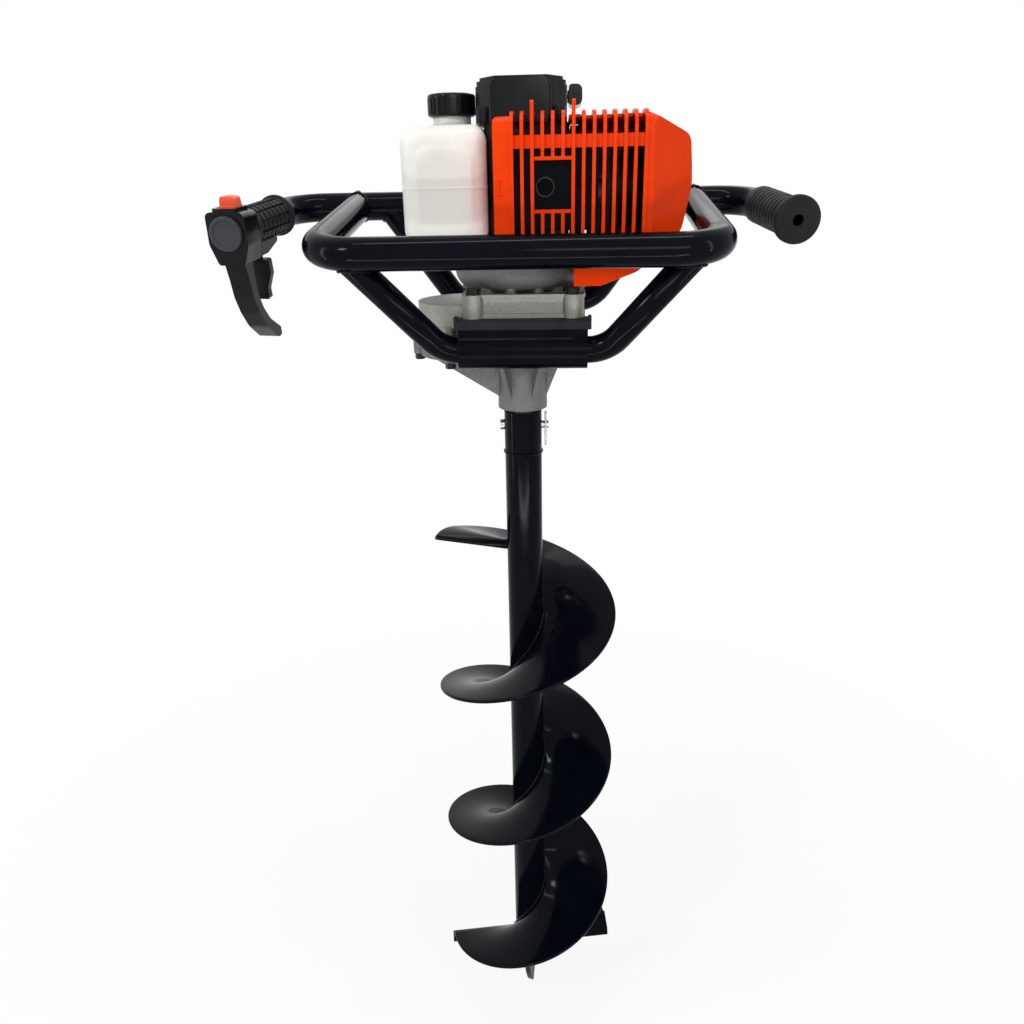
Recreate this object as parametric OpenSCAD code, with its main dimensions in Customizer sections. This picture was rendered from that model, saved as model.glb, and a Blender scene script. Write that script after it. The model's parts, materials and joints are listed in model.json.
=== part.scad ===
// Petrol earth auger: a vertical-shaft engine on a two-stage gear case, carried in a welded
// tube frame with two hand grips, turning a spiral drill bit.
// The origin is the pilot tip on the drilling axis, +Z is up, and the operator stands at +Y.

/* [Drill bit] */
// Outer diameter of the spiral flight
flight_d = 200; // [170:5:230]
// Rise of the flight in one turn
flight_pitch = 190; // [170:5:200]
// Thickness of the flight plate
flight_t = 4; // [3:0.5:6]
// Height of the lowest edge of the flight above the tip
flight_low = 98.2; // [90:0.1:110]
// Direction of the lowest edge of the flight, from +X
flight_phase = 189.5; // [0:0.5:360]
// Turn that the upper end of the flight stops short of a full turn, in degrees
top_trim = 15.5; // [0:0.5:30]
// Turn of the short second wing, in degrees
wing_turn = 70; // [50:5:90]
// Length from the pilot tip to the top of the socket
bit_len = 800; // [780:5:860]
// Outer diameter of the bit tube
shaft_d = 38; // [36:1:44]
// Wall of the bit tube
shaft_wall = 3; // [2:0.5:4]
// Height of the lower end of the bit tube
shaft_low = 52; // [46:1:60]
// Length of the socket that takes the output shaft
socket_len = 43; // [36:1:60]
// Length of the plugs inside the bit tube
spigot_len = 22; // [16:1:30]
// Diameter of the cross pin
pin_d = 8; // [6:0.5:9]
// Depth of the cross pin below the top of the socket
pin_drop = 15; // [12:1:20]
// Diameter of the cross pin head
pin_head_d = 11; // [10:0.5:13]
// Length of the cross pin beyond the socket
pin_reach = 7; // [6:0.5:9]
// Wire of the spring clip
clip_d = 2; // [1.6:0.1:2.4]
// Thickness of the cutting blades
blade_t = 6; // [4:0.5:8]
// Width of the cutting blades
blade_w = 28; // [24:1:40]
// Slope of the cutting blades
blade_slope = 28; // [20:1:35]
// Thickness of the pilot point
pilot_t = 7; // [6:0.5:9]
// Width of the pilot point
pilot_w = 26; // [20:1:30]

/* [Gear case] */
// Gap between the bit socket and the gear case
case_gap = 4; // [3:0.5:8]
// Height of the lower gear case
lower_case_h = 78; // [76:1:84]
// Outer diameter of the neck
neck_d = 49; // [48:1:54]
// Distance between the drilling axis and the layshaft
gear_centres = 50; // [50:1:50]
// Module of the first gear pair
module_one = 1.25; // [1.25:0.25:1.25]
// Module of the second gear pair
module_two = 2; // [2:0.5:2]
// Teeth of both pinions
pinion_teeth = 10; // [10:1:10]
// Width of the wheel on the layshaft
wheel_one_w = 10; // [8:0.5:10.5]
// Width of the output wheel
wheel_two_w = 16; // [14:0.5:16]
// Wall of the gear case
case_wall = 3.5; // [3:0.5:4]
// Diameter of the output shaft
output_d = 20; // [18:0.5:22]
// Length of the output shaft inside the bit socket
output_reach = 52; // [42:1:56]
// Diameter of the layshaft ends and of the drum hub
lay_d = 12; // [10:0.5:12]
// Outer diameter of the output bearings
output_bearing_d = 42; // [40:0.5:43]
// Outer diameter of the small bearings
small_bearing_d = 28; // [26:0.5:30]
// Width of the small bearings
small_bearing_w = 8; // [7:0.5:8.5]
// Height of the upper gear case block
block_h = 20.7; // [19:0.1:24]
// Width of the upper gear case block
block_w = 112; // [108:1:116]
// Depth of the upper gear case block
block_l = 120; // [116:1:126]
// Offset of the block and the saddles to the right of the drilling axis
block_x = 4; // [0:0.5:6]
// Radius of the bolt bosses on the block
boss_r = 9.5; // [8.5:0.5:10.5]
// Diameter of the block bolts
block_bolt_d = 8; // [6:0.5:8]

/* [Engine] */
// Outer radius of the fan case
fan_r = 62; // [61:0.5:66]
// Height of the fan case
fan_h = 36.6; // [34:0.1:40]
// Rounding of the lower edge of the fan case
fan_round = 18; // [10:1:20]
// Wall of the fan case
fan_wall = 3.5; // [2.5:0.5:4]
// Radius of the flywheel
flywheel_r = 54; // [48:1:55]
// Blades of the fan
fan_blades = 14; // [10:1:20]
// Outer radius of the clutch drum
drum_r = 38; // [36:0.5:39]
// Height of the crankcase
crankcase_h = 104; // [100:1:112]
// Half depth of the crankcase
crankcase_y = 40; // [34:1:43]
// Diameter of the crankshaft
crank_d = 14; // [12:0.5:15]
// Radius of the crank webs
web_r = 22; // [20:0.5:22.5]
// Piston stroke
stroke = 30; // [26:1:32]
// Bore of the cylinder
bore_d = 46; // [42:1:48]
// Height of the cylinder axis above the fan case
cylinder_rise = 50; // [48:1:52]
// Thickness of a cooling fin
fin_t = 2.5; // [1.5:0.5:3]
// Number of cooling fins
fins = 8; // [6:1:8]
// Half width of the cooling fins
fin_half = 36; // [33:1:37]

/* [Muffler] */
// Width of the muffler
muffler_w = 84; // [70:1:88]
// Height of the muffler
muffler_h = 64; // [56:1:68]
// Radius of the exhaust outlet
outlet_r = 7; // [5:0.5:9]

/* [Engine cover] */
// Front face of the engine cover, ahead of the drilling axis
cover_front = 85; // [83:0.5:88]
// Wall of the engine cover
cover_wall = 2.8; // [2:0.2:3.2]
// Reach of the engine cover to the right
cover_right = 150; // [147:1:156]
// Reach of the engine cover to the left
cover_left = 18; // [15:1:20]
// Height of the cover top above the cylinder axis
cover_rise = 59; // [56:1:61]
// Rounding of the front top edge
cover_round = 14; // [8:1:18]
// Spacing of the grille bars
bar_pitch = 8.4; // [7.6:0.2:8.6]
// Thickness of the grille bars
bar_t = 2.8; // [2:0.2:3.6]

/* [Fuel tank] */
// Width of the tank
tank_w = 77; // [72:1:78]
// Depth of the tank
tank_l = 112; // [100:1:120]
// Height of the tank
tank_h = 99.5; // [90:0.5:99.5]
// Rounding of the tank edges
tank_round = 13; // [8:1:16]
// Wall of the tank
tank_wall = 2.5; // [2:0.5:4]
// Outer diameter of the fuel cap
cap_d = 43; // [38:1:48]
// Height of the fuel cap
cap_h = 18; // [14:1:20]
// Outer diameter of the filler neck
filler_d = 34; // [30:1:35]

/* [Starter] */
// Width of the starter cover
starter_w = 79; // [78:0.5:80]
// Depth of the starter cover
starter_l = 92; // [84:1:98]
// Height of the starter cover
starter_h = 36; // [34:1:42]
// Radius of the starter reel
reel_r = 29; // [25:1:31]
// Length of the starter handle
handle_l = 42; // [36:1:48]

/* [Frame] */
// Diameter of the handlebar and guard tubes
bar_d = 28; // [25:0.5:30]
// Wall of the frame tubes
tube_wall = 2; // [1.5:0.25:3]
// Height of the frame plane above the leg tubes, on the drilling axis
frame_rise = 105.4; // [100:0.1:112]
// Slope of the frame plane, down to the front
frame_tilt = 9; // [6:0.5:11]
// Slope of the handlebar ends, down to the front
hand_tilt = 6.5; // [4:0.5:10]
// Distance from the drilling axis forward to the guard tube
guard_reach = 111; // [108:1:125]
// Half width of the guard between tube centres
guard_half = 173; // [168:1:180]
// Bend of the guard tube
guard_bend = 42; // [36:1:48]
// Distance from the drilling axis back to the handlebar
rear_reach = 99; // [97:1:104]
// Half width of the handlebar between bend corners
corner_x = 234.5; // [230:0.5:250]
// Shift of the handlebar to the left
bar_shift = 5.5; // [0:0.5:8]
// Bend of the handlebar
bar_bend = 40; // [36:1:44]
// Outward splay of the handlebar ends
splay = 7.2418; // [5:0.0001:9]
// Length of the right handlebar end beyond its corner
right_len = 132; // [128:1:150]
// Length of the left handlebar end beyond its corner
left_len = 145; // [141:1:150]
// Diameter of the leg tubes
leg_d = 24; // [22:0.5:26]
// Distance of the front leg tube ahead of the block
leg_out = 8; // [6:0.5:12]
// Height of the rear leg tube above the front one
rear_lift = 24; // [20:1:28]
// Half length of the flat stretch of the front leg, to its bend corner
front_corner = 80; // [79:1:86]
// Half length of the flat stretch of the rear leg, to its bend corner
rear_corner = 70; // [70:1:74]
// Bend of the leg tubes
leg_bend = 34; // [28:1:34]
// Drop of the leg tubes below the parting line of the gear case
leg_drop = 9; // [7:0.5:12]

/* [Saddles] */
// Half length of the front saddle
front_saddle_half = 58; // [50:1:58]
// Half length of the rear saddle
rear_saddle_half = 48; // [44:1:48]
// Wall of the saddle sleeve
sleeve_wall = 4.5; // [3:0.5:5]
// Thickness of the rubber pads
pad_t = 7.7; // [6:0.1:9]

/* [Grips and throttle] */
// Outer diameter of the grips
grip_d = 35; // [33:0.5:38]
// Diameter of the grip flanges
flange_d = 42; // [39:0.5:45]
// Length of the right grip
right_grip_l = 98; // [94:1:112]
// Length of the left grip
left_grip_l = 77; // [74:1:80]
// Diameter of the hole in the end of the right grip
end_hole_d = 10; // [6:0.5:14]
// Length of the throttle housing
housing_l = 30; // [28:1:32]
// Radius of the throttle housing round the tube
housing_r = 20; // [18.5:0.5:21]
// Length of the throttle lever
lever_l = 90; // [76:1:94]
// Width of the throttle lever
lever_w = 20; // [19:0.5:21]
// Diameter of the lever pins
lever_pin_d = 5; // [4:0.5:6]

/* [Air intake] */
// Width of the air cleaner
cleaner_w = 86; // [78:1:92]
// Height of the air cleaner
cleaner_h = 54; // [48:1:56]
// Depth of the air cleaner cover
cleaner_l = 32; // [26:1:36]

/* [Fits] */
// Gap round fixed pieces
seat_gap = 0.05; // [0.02:0.01:0.1]
// Gap round turning and sliding pieces
run_gap = 0.08; // [0.04:0.01:0.1]
// Gap between moving pieces that must never touch
free_gap = 0.5; // [0.4:0.1:0.8]
// Thinning of each gear tooth for backlash
backlash = 0.16; // [0.12:0.02:0.24]

/* [Hidden] */
$fn = 64;
part_steps = 48;
deep = 400;

// Heights from the tip up
socket_low = bit_len - socket_len;
pin_z = bit_len - pin_drop;
neck_z = bit_len + case_gap;
parting_z = neck_z + lower_case_h;
leg_z = parting_z - leg_drop;
sleeve_r = leg_d / 2 + seat_gap + sleeve_wall;
seat_rise = 3;
seat_h = sleeve_r + seat_rise;
saddle_z = leg_z + seat_h;
block_z = saddle_z + pad_t;
engine_z = block_z + block_h;
fan_top = engine_z + fan_h;
case_top = fan_top + crankcase_h;
cylinder_z = fan_top + cylinder_rise;
frame_z = leg_z + frame_rise;

// Blades, welded under the leading edges
blade_from = shaft_d / 2 + 0.3;
blade_to = flight_d / 2 + 2;
blade_lap = 8;
blade_drop = 2;

// Sideways run of the leg tubes for their rise
leg_lean = 3 / 4;

// Gear train
wheel_one_teeth = 2 * gear_centres / module_one - pinion_teeth;
wheel_two_teeth = 2 * gear_centres / module_two - pinion_teeth;
pressure_angle = 25;
addendum = 0.7;
dedendum = 0.95;
tip_gap = 1.5;
wheel_one_tip = module_one * (wheel_one_teeth / 2 + addendum);
wheel_two_tip = module_two * (wheel_two_teeth / 2 + addendum);
pinion_one_tip = module_one * (pinion_teeth / 2 + addendum);
pinion_two_tip = module_two * (pinion_teeth / 2 + addendum);
lobe_r = wheel_one_tip + tip_gap + case_wall;
main_r = wheel_two_tip + tip_gap + case_wall;
chamber_z = parting_z - wheel_two_w - 2 * free_gap;
wheel_one_z = parting_z + 2;
wheel_one_top = wheel_one_z + wheel_one_w;
upper_seat_z = wheel_one_top + 1;
drum_z = upper_seat_z + small_bearing_w + 2 * free_gap;
lobe_top = upper_seat_z + small_bearing_w + 7;
drum_chamber_z = drum_z - free_gap;
output_bearing_w = 12;
seal_w = 7;
lay_low = chamber_z - small_bearing_w;
lug_bolt_d = 6;
lug_r = 6;
lug_h = 9;
floor_z = chamber_z - 6;
lug_low_h = parting_z - floor_z;
lobe_lug = lobe_r + 2;
main_lug = main_r + 2;
case_lugs = [
  for (a = [107, 180, 253]) [-gear_centres + lobe_lug * cos(a), lobe_lug * sin(a)],
  for (a = [-28, 28]) [main_lug * cos(a), main_lug * sin(a)]
];
block_bolt_x = block_w / 2 - boss_r - 1;
block_bolt_y = block_l / 2 - boss_r + 5.5;
block_bolts = [for (x = [-1, 1]) [block_x + x * block_bolt_x, -block_bolt_y]];
bolt_head_h = 5;
fan_lug_r = 6;

// Legs and saddles: the front saddle lies under the block, the rear one stands behind it
front_leg_y = block_l / 2 + leg_out;
rear_leg_y = block_l / 2 + pad_t + seat_h;
rear_leg_z = leg_z + rear_lift;
stud_in = front_leg_y - block_bolt_y;
stud_z = rear_leg_z + stud_in;
stud_deep = 14;
seat_in = stud_in + block_bolt_d / 2 + 1.6;
seat_out = 10;

// Clutch, crank and cylinder
drum_h = 15;
drum_wall = 2.5;
shoe_gap = 2;
shoe_r = drum_r - drum_wall - shoe_gap;
shoe_pin_r = 24;
shoe_pin_d = 6;
flywheel_z = engine_z + fan_wall + 2;
flywheel_t = 8;
crank_r = stroke / 2;
web_t = 8;
web_space = 10;
rod_l = 69;
piston_l = 34;
piston_top = crank_r + rod_l + 16;
wrist_d = 10;
crank_bearing_d = 32;
crank_bearing_w = 10;
crankcase_left = 29;
crankcase_right = 45;
barrel_r = bore_d / 2 + 5;
fin_first = crankcase_right + 9;
fin_pitch = 8;
head_x = fin_first + 8 * fin_pitch;
head_t = 8;
plug_x = head_x + head_t;
port_x = 70;
muffler_back = fin_half + 8;
muffler_front = cover_front - 9;
muffler_x = 27;
outlet_z = cylinder_z + 2.5;

// Cover
cover_top = cylinder_z + cover_rise;
cover_back = 45;
cover_notch = 48;
slot_first = -2.6;
cover_low = engine_z + 9.5;
rib_proud = 1.6;
rib_back = 35;
grille_back = 46.5;
grille_foot = 6;
fin_rise = 8.5;
slot_count = 13;
grille_right = slot_first + bar_pitch * slot_count + bar_t / 2;
band_z = cylinder_z + 32;
band_h = 10;
slot_low = cylinder_z - 42;
window_x = slot_first + 2 * bar_pitch + bar_t / 2;
window_w = 4 * bar_pitch - bar_t;
outlet_x = window_x + 9;
window_z = cylinder_z - 15;
window_h = 38;

// Tank and starter
tank_x = -24.5 - tank_w / 2;
tank_pocket_x = -crankcase_left - 1;
tank_pocket_y = crankcase_y + 4;
tank_z = fan_top + 4 + seat_gap;
tank_top = tank_z + tank_h;
cap_lift = 9;
cap_roof = 4;
neck_h = cap_lift + cap_h - cap_roof - free_gap;
cap_x = -60;
cap_z = tank_top + cap_lift;
starter_x = 3.5;
reel_z = case_top + 10;
reel_w = 14;
handle_y = 20;
handle_z = case_top + 24;
handle_w = 13;
handle_h = 17;
rope_d = 4;

// Hand levers, along the left handlebar end
grip_from = 38;
left_from = 48;
left_flange_d = flange_d - 3;
left_grip_to = left_from + left_grip_l;
housing_from = left_grip_to + 0.3;
housing_to = housing_from + housing_l;
lever_at = housing_to - 13;
lever_z = -21.5;
lock_at = housing_to - 49;
lock_z = -22.5;
lock_w = 9;
lever_wall = 2.5;
switch_at = housing_to - 16;
switch_l = 14;
switch_w = 15;
switch_travel = 6;
pod_top = 21;
pod_from = housing_to - 14;
housing_low = -28;
switch_deep = 5;
lock_half = 13;
lock_t = 7;
lever_room = 11.2;
tail_w = 20;
tail_l = 48;
cap_disc_r = 15.2;

// Intake
cleaner_x = 55;
carb_x = 70;
carb_l = 24;
carb_half = 18;
choke_y = cover_back + 22;
choke_z = cylinder_z + 6;
choke_pin_r = 1.5;
bulb_y = cover_back + 20;
bulb_z = cylinder_z - 22;
bulb_r = 9;
bulb_travel = 4;
carb_back = cover_back + 8 + carb_l;

// Points and outlines
function unit(v) = v / norm(v);
// Turn of a path at corner i, positive to the left, and the length that its bend takes from each side
function turn(p, i) =
  let (u = unit(p[i] - p[i - 1]), w = unit(p[i + 1] - p[i]))
  sign(u.x * w.y - u.y * w.x) * acos(u * w);
function trim(p, i, r) = r * tan(abs(turn(p, i)) / 2);
function frame_point(x, s) = [x, s * cos(frame_tilt), frame_z + s * sin(frame_tilt)];
function arc(c, r, from, to, steps = 6) =
  [for (i = [0:steps]) c + r * [cos(from + (to - from) * i / steps),
    sin(from + (to - from) * i / steps)]];
// Outline whose corners, given as [x, y, radius], are rounded
function rounded(p, steps = 6) = [
  for (i = [0:len(p) - 1])
    let (
      b = [p[i].x, p[i].y],
      a = [p[(i + len(p) - 1) % len(p)].x, p[(i + len(p) - 1) % len(p)].y],
      c = [p[(i + 1) % len(p)].x, p[(i + 1) % len(p)].y],
      r = p[i].z,
      u = unit(b - a),
      w = unit(c - b),
      bend = acos(u * w),
      side = sign(u.x * w.y - u.y * w.x),
      cut = r * tan(bend / 2),
      from = b - u * cut,
      centre = from + r * side * [-u.y, u.x],
      first = atan2(from.y - centre.y, from.x - centre.x)
    )
    each (r == 0 ? [b] : arc(centre, r, first, first + side * bend, steps))
];
function box_outline(x, y, r) = rounded([[-x / 2, -y / 2, r], [x / 2, -y / 2, r], [x / 2, y / 2, r],
  [-x / 2, y / 2, r]]);

// Bend in the XY plane, starting at the origin along +X, to the left for a positive angle
module elbow(r, angle, od, id) {
  side = sign(angle) * r;
  span = 4 * (r + od);
  translate([0, side, 0]) intersection() {
    rotate_extrude() translate([r, 0]) difference() {
      circle(d = od);
      if (id > 0) circle(d = id);
    }
    translate([0, -span / 2, -span / 2]) cube(span);
    rotate([0, 0, angle]) translate([-span, -span / 2, -span / 2]) cube(span);
  }
}
// Rest of a bent tube from corner i on, each piece placed from the end of the one before
module tube_from(p, i, r, od, id) {
  last = len(p) - 1;
  from = i == 0 ? 0 : trim(p, i, r);
  to = i == last - 1 ? 0 : trim(p, i + 1, r);
  run = norm(p[i + 1] - p[i]) - from - to;
  rotate([0, 90, 0]) difference() {
    cylinder(d = od, h = run);
    if (id > 0) translate([0, 0, -1]) cylinder(d = id, h = run + 2);
  }
  if (i < last - 1) translate([run, 0, 0]) {
    angle = turn(p, i + 1);
    side = sign(angle) * r;
    elbow(r, angle, od, id);
    translate([0, side, 0]) rotate([0, 0, angle]) translate([0, -side, 0])
      tube_from(p, i + 1, r, od, id);
  }
}
// Tube bent in the XY plane along a list of corner points
module bent_tube(p, r, od, id) {
  translate(p[0]) rotate([0, 0, atan2(p[1].y - p[0].y, p[1].x - p[0].x)]) tube_from(p, 0, r, od, id);
}

// Box with every edge rounded, centred in X and Y and standing on Z = 0
module soft_box(x, y, z, r, inset = 0) {
  w = x - 2 * inset;
  l = y - 2 * inset;
  h = z - 2 * inset;
  round_r = max(r - inset, 1);
  translate([0, 0, z / 2]) intersection() {
    translate([0, 0, -h / 2]) linear_extrude(h) polygon(box_outline(w, l, round_r));
    rotate([90, 0, 0]) translate([0, 0, -l / 2]) linear_extrude(l) polygon(box_outline(w, h, round_r));
    rotate([90, 0, 90]) translate([0, 0, -w / 2]) linear_extrude(w) polygon(box_outline(l, h, round_r));
  }
}

// Spur gear with involute flanks
function involute(rb, t) = rb * [cos(t) + t * PI / 180 * sin(t), sin(t) - t * PI / 180 * cos(t)];
function spun(p, a) = [p.x * cos(a) - p.y * sin(a), p.x * sin(a) + p.y * cos(a)];
function flank(m, teeth, side) =
  let (
    rp = m * teeth / 2,
    rb = rp * cos(pressure_angle),
    root_r = rp - dedendum * m,
    tip_t = sqrt(pow((rp + addendum * m) / rb, 2) - 1) * 180 / PI,
    root_t = sqrt(max(0, pow(root_r / rb, 2) - 1)) * 180 / PI,
    pitch_t = tan(pressure_angle) * 180 / PI,
    half = 90 / teeth - backlash / 2 / rp * 90 / PI,
    lean = half + pitch_t - pressure_angle,
    foot = root_r < rb ? [root_r * [cos(lean), -sin(lean)]] : [],
    curve = [for (k = [0, 0.45, 0.75, 1]) spun(involute(rb, root_t + (tip_t - root_t) * k), -lean)]
  )
  [for (q = concat(foot, curve)) [q.x, side * q.y]];
module gear(m, teeth, w, phase = 0) {
  up = flank(m, teeth, 1);
  down = flank(m, teeth, -1);
  last = len(up) - 1;
  linear_extrude(w) polygon([
    for (k = [0:teeth - 1])
      let (a = phase + 360 * k / teeth)
      each concat([for (q = up) spun(q, a)], [for (j = [last:-1:0]) spun(down[j], a)])
  ]);
}

// Helical plate of one thickness from an angle, over a turn, between two radii
module helix_plate(z, from, sweep, r_in, r_out, t, pitch) {
  steps = max(6, round(part_steps * sweep / 360));
  inner = (r_in + seat_gap) / cos(sweep / steps / 2);
  ring = [[inner, 0], [r_out, 0], [r_out, t], [inner, t]];
  pts = [
    for (i = [0:steps], q = ring)
      let (a = sweep * i / steps)
      [q.x * cos(from + a), q.x * sin(from + a), z + pitch * a / 360 + q.y]
  ];
  last = 4 * steps;
  sides = [
    for (i = [0:steps - 1], j = [0:3])
      let (a = 4 * i + j, b = 4 * i + (j + 1) % 4)
      each [[a, a + 4, b], [b, a + 4, b + 4]]
  ];
  polyhedron(pts, concat(sides, [[0, 1, 2], [0, 2, 3]],
    [[last, last + 2, last + 1], [last, last + 3, last + 2]]));
}

// Tube frame
module frame_plane() {
  translate([0, 0, frame_z]) rotate([frame_tilt, 0, 0]) children();
}
// Plane of the handlebar, with its rear run along X
module hand_plane() {
  translate(frame_point(-bar_shift, rear_reach)) rotate([hand_tilt, 0, 0]) children();
}
module left_hand() {
  hand_plane() translate([-corner_x, 0, 0]) rotate([0, 0, -90 - splay]) children();
}
module right_hand() {
  hand_plane() translate([corner_x, 0, 0]) rotate([0, 0, -90 + splay]) children();
}
module handlebar_solid(od, id) {
  hand_plane() bent_tube([
    [-corner_x - left_len * sin(splay), -left_len * cos(splay)],
    [-corner_x, 0],
    [corner_x, 0],
    [corner_x + right_len * sin(splay), -right_len * cos(splay)]
  ], bar_bend, od, id);
}
module rear_handlebar() {
  color([0.05, 0.05, 0.05]) handlebar_solid(bar_d, bar_d - 2 * tube_wall);
}
module guard_solid(od, id) {
  frame_plane() bent_tube([
    [-guard_half, rear_reach],
    [-guard_half, -guard_reach],
    [guard_half, -guard_reach],
    [guard_half, rear_reach]
  ], guard_bend, od, id);
}
module rear_run(d) {
  frame_plane() translate([0, rear_reach, 0]) rotate([0, 90, 0])
    cylinder(d = d, h = 2 * corner_x, center = true);
}
module guard_bar() {
  color([0.05, 0.05, 0.05]) difference() {
    guard_solid(bar_d, bar_d - 2 * tube_wall);
    rear_run(bar_d + 2 * seat_gap);
  }
}
module leg_solid(foot, corner, reach) {
  climb = frame_point(0, reach) - foot;
  spread = corner + leg_lean * norm(climb);
  translate(foot) rotate([atan2(climb.z, climb.y), 0, 0]) bent_tube([
    [-spread, norm(climb)],
    [-corner, 0],
    [corner, 0],
    [spread, norm(climb)]
  ], leg_bend, leg_d, leg_d - 2 * tube_wall);
}
module front_leg() {
  color([0.05, 0.05, 0.05]) difference() {
    leg_solid([0, -front_leg_y, leg_z], front_corner, -guard_reach);
    guard_solid(bar_d + 2 * seat_gap, 0);
  }
}
module rear_leg() {
  color([0.05, 0.05, 0.05]) difference() {
    leg_solid([0, rear_leg_y, rear_leg_z], rear_corner, rear_reach);
    rear_run(bar_d + 2 * seat_gap);
  }
}

// Saddle: a sleeve round the leg tube with a raised flat seat for the pad, its bolts on the block side
module saddle(half) {
  difference() {
    union() {
      rotate([0, 90, 0]) cylinder(r = sleeve_r, h = 2 * half, center = true);
      translate([-half, -seat_out, 0]) cube([2 * half, seat_out + seat_in, seat_h]);
    }
    rotate([0, 90, 0]) cylinder(d = leg_d + 2 * seat_gap, h = 2 * half + 2, center = true);
    bolt_holes(seat_h - sleeve_wall);
  }
}
module bolt_holes(from) {
  for (x = [-1, 1]) translate([x * block_bolt_x, stud_in, from])
    cylinder(d = block_bolt_d + 2 * seat_gap, h = deep);
}
module pad(half) {
  side = 3;
  lip_t = 3;
  lip_h = 4;
  difference() {
    union() {
      translate([-half - side, -seat_out - 1, 0])
        cube([2 * (half + side), seat_out + seat_in + 1, pad_t]);
      // Upturned lips beside the block
      for (x = [-1, 1]) translate([x * (half + side - lip_t / 2) - lip_t / 2, -seat_out - 1, pad_t - 1])
        cube([lip_t, seat_out, lip_h + 1]);
    }
    bolt_holes(-1);
  }
}
module at_front(z) {
  translate([block_x, -front_leg_y, leg_z + z]) children();
}
module at_rear(z) {
  translate([block_x, rear_leg_y - z, rear_leg_z]) rotate([90, 0, 0]) children();
}
module front_saddle() {
  color([0.06, 0.06, 0.06]) at_front(0) saddle(front_saddle_half);
}
module rear_saddle() {
  color([0.06, 0.06, 0.06]) at_rear(0) saddle(rear_saddle_half);
}
module front_pad() {
  color([0.08, 0.08, 0.08]) at_front(seat_h) pad(front_saddle_half);
}
module rear_pad() {
  color([0.08, 0.08, 0.08]) at_rear(seat_h) pad(rear_saddle_half);
}

// Grips
module right_grip() {
  groove = 1.2;
  wall_r = grip_d / 2;
  bore_r = bar_d / 2 + seat_gap;
  end = grip_from + right_grip_l;
  color([0.09, 0.09, 0.09]) right_hand() rotate([0, 90, 0]) difference() {
    rotate_extrude() polygon(concat(
      [[bore_r, grip_from], [wall_r - 1, grip_from], [wall_r, grip_from + 2]],
      [[wall_r, end - 16], [wall_r + 1, end - 10], [flange_d / 2, end - 7]],
      arc([flange_d / 2 - 3, end - 3], 3, 0, 90, 4),
      [[end_hole_d / 2, end], [end_hole_d / 2, right_len + seat_gap], [bore_r, right_len + seat_gap]]
    ));
    for (i = [0:9]) translate([0, 0, grip_from + 14 + 8 * i]) difference() {
      cylinder(r = wall_r + 2, h = 2.4);
      translate([0, 0, -1]) cylinder(r = wall_r - groove, h = 5);
    }
  }
}
module left_grip() {
  groove = 2;
  ribs = 12;
  wall_r = grip_d / 2;
  bore_r = bar_d / 2 + seat_gap;
  color([0.09, 0.09, 0.09]) left_hand() rotate([0, 90, 0]) difference() {
    rotate_extrude() polygon([
      [bore_r, left_from], [left_flange_d / 2 - 1, left_from], [left_flange_d / 2, left_from + 1.5],
      [left_flange_d / 2, left_from + 4], [wall_r, left_from + 6], [wall_r, left_grip_to],
        [bore_r, left_grip_to]
    ]);
    for (i = [0:6]) translate([0, 0, left_from + 12 + 9 * i]) difference() {
      cylinder(r = wall_r + 2, h = 2.4);
      translate([0, 0, -1]) cylinder(r = wall_r - groove, h = 5);
    }
    for (k = [0:ribs - 1]) rotate([0, 0, (k + 0.5) * 360 / ribs])
      translate([wall_r - groove, -1.1, left_from + 9]) cube([groove + 2, 2.2, left_grip_l - 13]);
  }
}

// Throttle housing, in two halves that clamp the tube end
function housing_outline(half, top) = rounded([
  [-half, top, 5], [half, top, 5], [half + 0.5, -10, 5], [lever_w / 2 + 2.5, housing_low, 3],
  [-lever_w / 2 - 2.5, housing_low, 3], [-half - 0.5, -10, 5]
], 4);
module housing_body() {
  // Square front part, slimmer back part, plate round the switch, and a tail under the grip
  translate([pod_from, 0, 0]) rotate([90, 0, 90]) linear_extrude(housing_to - pod_from)
    polygon(housing_outline(housing_r - 1.5, pod_top - 3));
  translate([housing_from, 0, 0]) rotate([90, 0, 90]) linear_extrude(pod_from - housing_from + 1)
    polygon(housing_outline(housing_r - 3.5, pod_top - 4.5));
  translate([switch_at + switch_travel / 2, 0, pod_top - 5])
    linear_extrude(5) polygon(box_outline(switch_l + switch_travel + 6, switch_w + 8, 3));
  difference() {
    rotate([90, 0, 0]) translate([0, 0, -tail_w / 2]) linear_extrude(tail_w) polygon(rounded([
      [housing_from - tail_l, -8, 0], [housing_from + 4, -8, 0], [housing_from + 4, housing_low + 1, 0],
      [housing_from - tail_l / 2, housing_low + 1.5, 20], [housing_from - tail_l, housing_low + 9, 3]
    ], 4));
    rotate([0, 90, 0]) cylinder(d = grip_d + 2 * free_gap, h = housing_from);
  }
}
module housing_space() {
  slot_half = lever_w / 2 + free_gap;
  rotate([0, 90, 0]) translate([0, 0, housing_from - 1])
    cylinder(d = bar_d + 2 * seat_gap, h = left_len - housing_from + 1 + seat_gap);
  translate([lever_at, 0, lever_z]) rotate([90, 0, 0])
    cylinder(r = lever_room, h = 2 * slot_half, center = true);
  translate([lock_at - lock_t, -lock_w / 2 - free_gap, housing_low - 1])
    cube([2 * lock_t, lock_w + 2 * free_gap, -housing_low]);
  translate([switch_at - switch_l / 2 - free_gap, -switch_w / 2 - free_gap, pod_top - switch_deep])
    cube([switch_l + switch_travel + 2 * free_gap, switch_w + 2 * free_gap, 20]);
}
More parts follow.
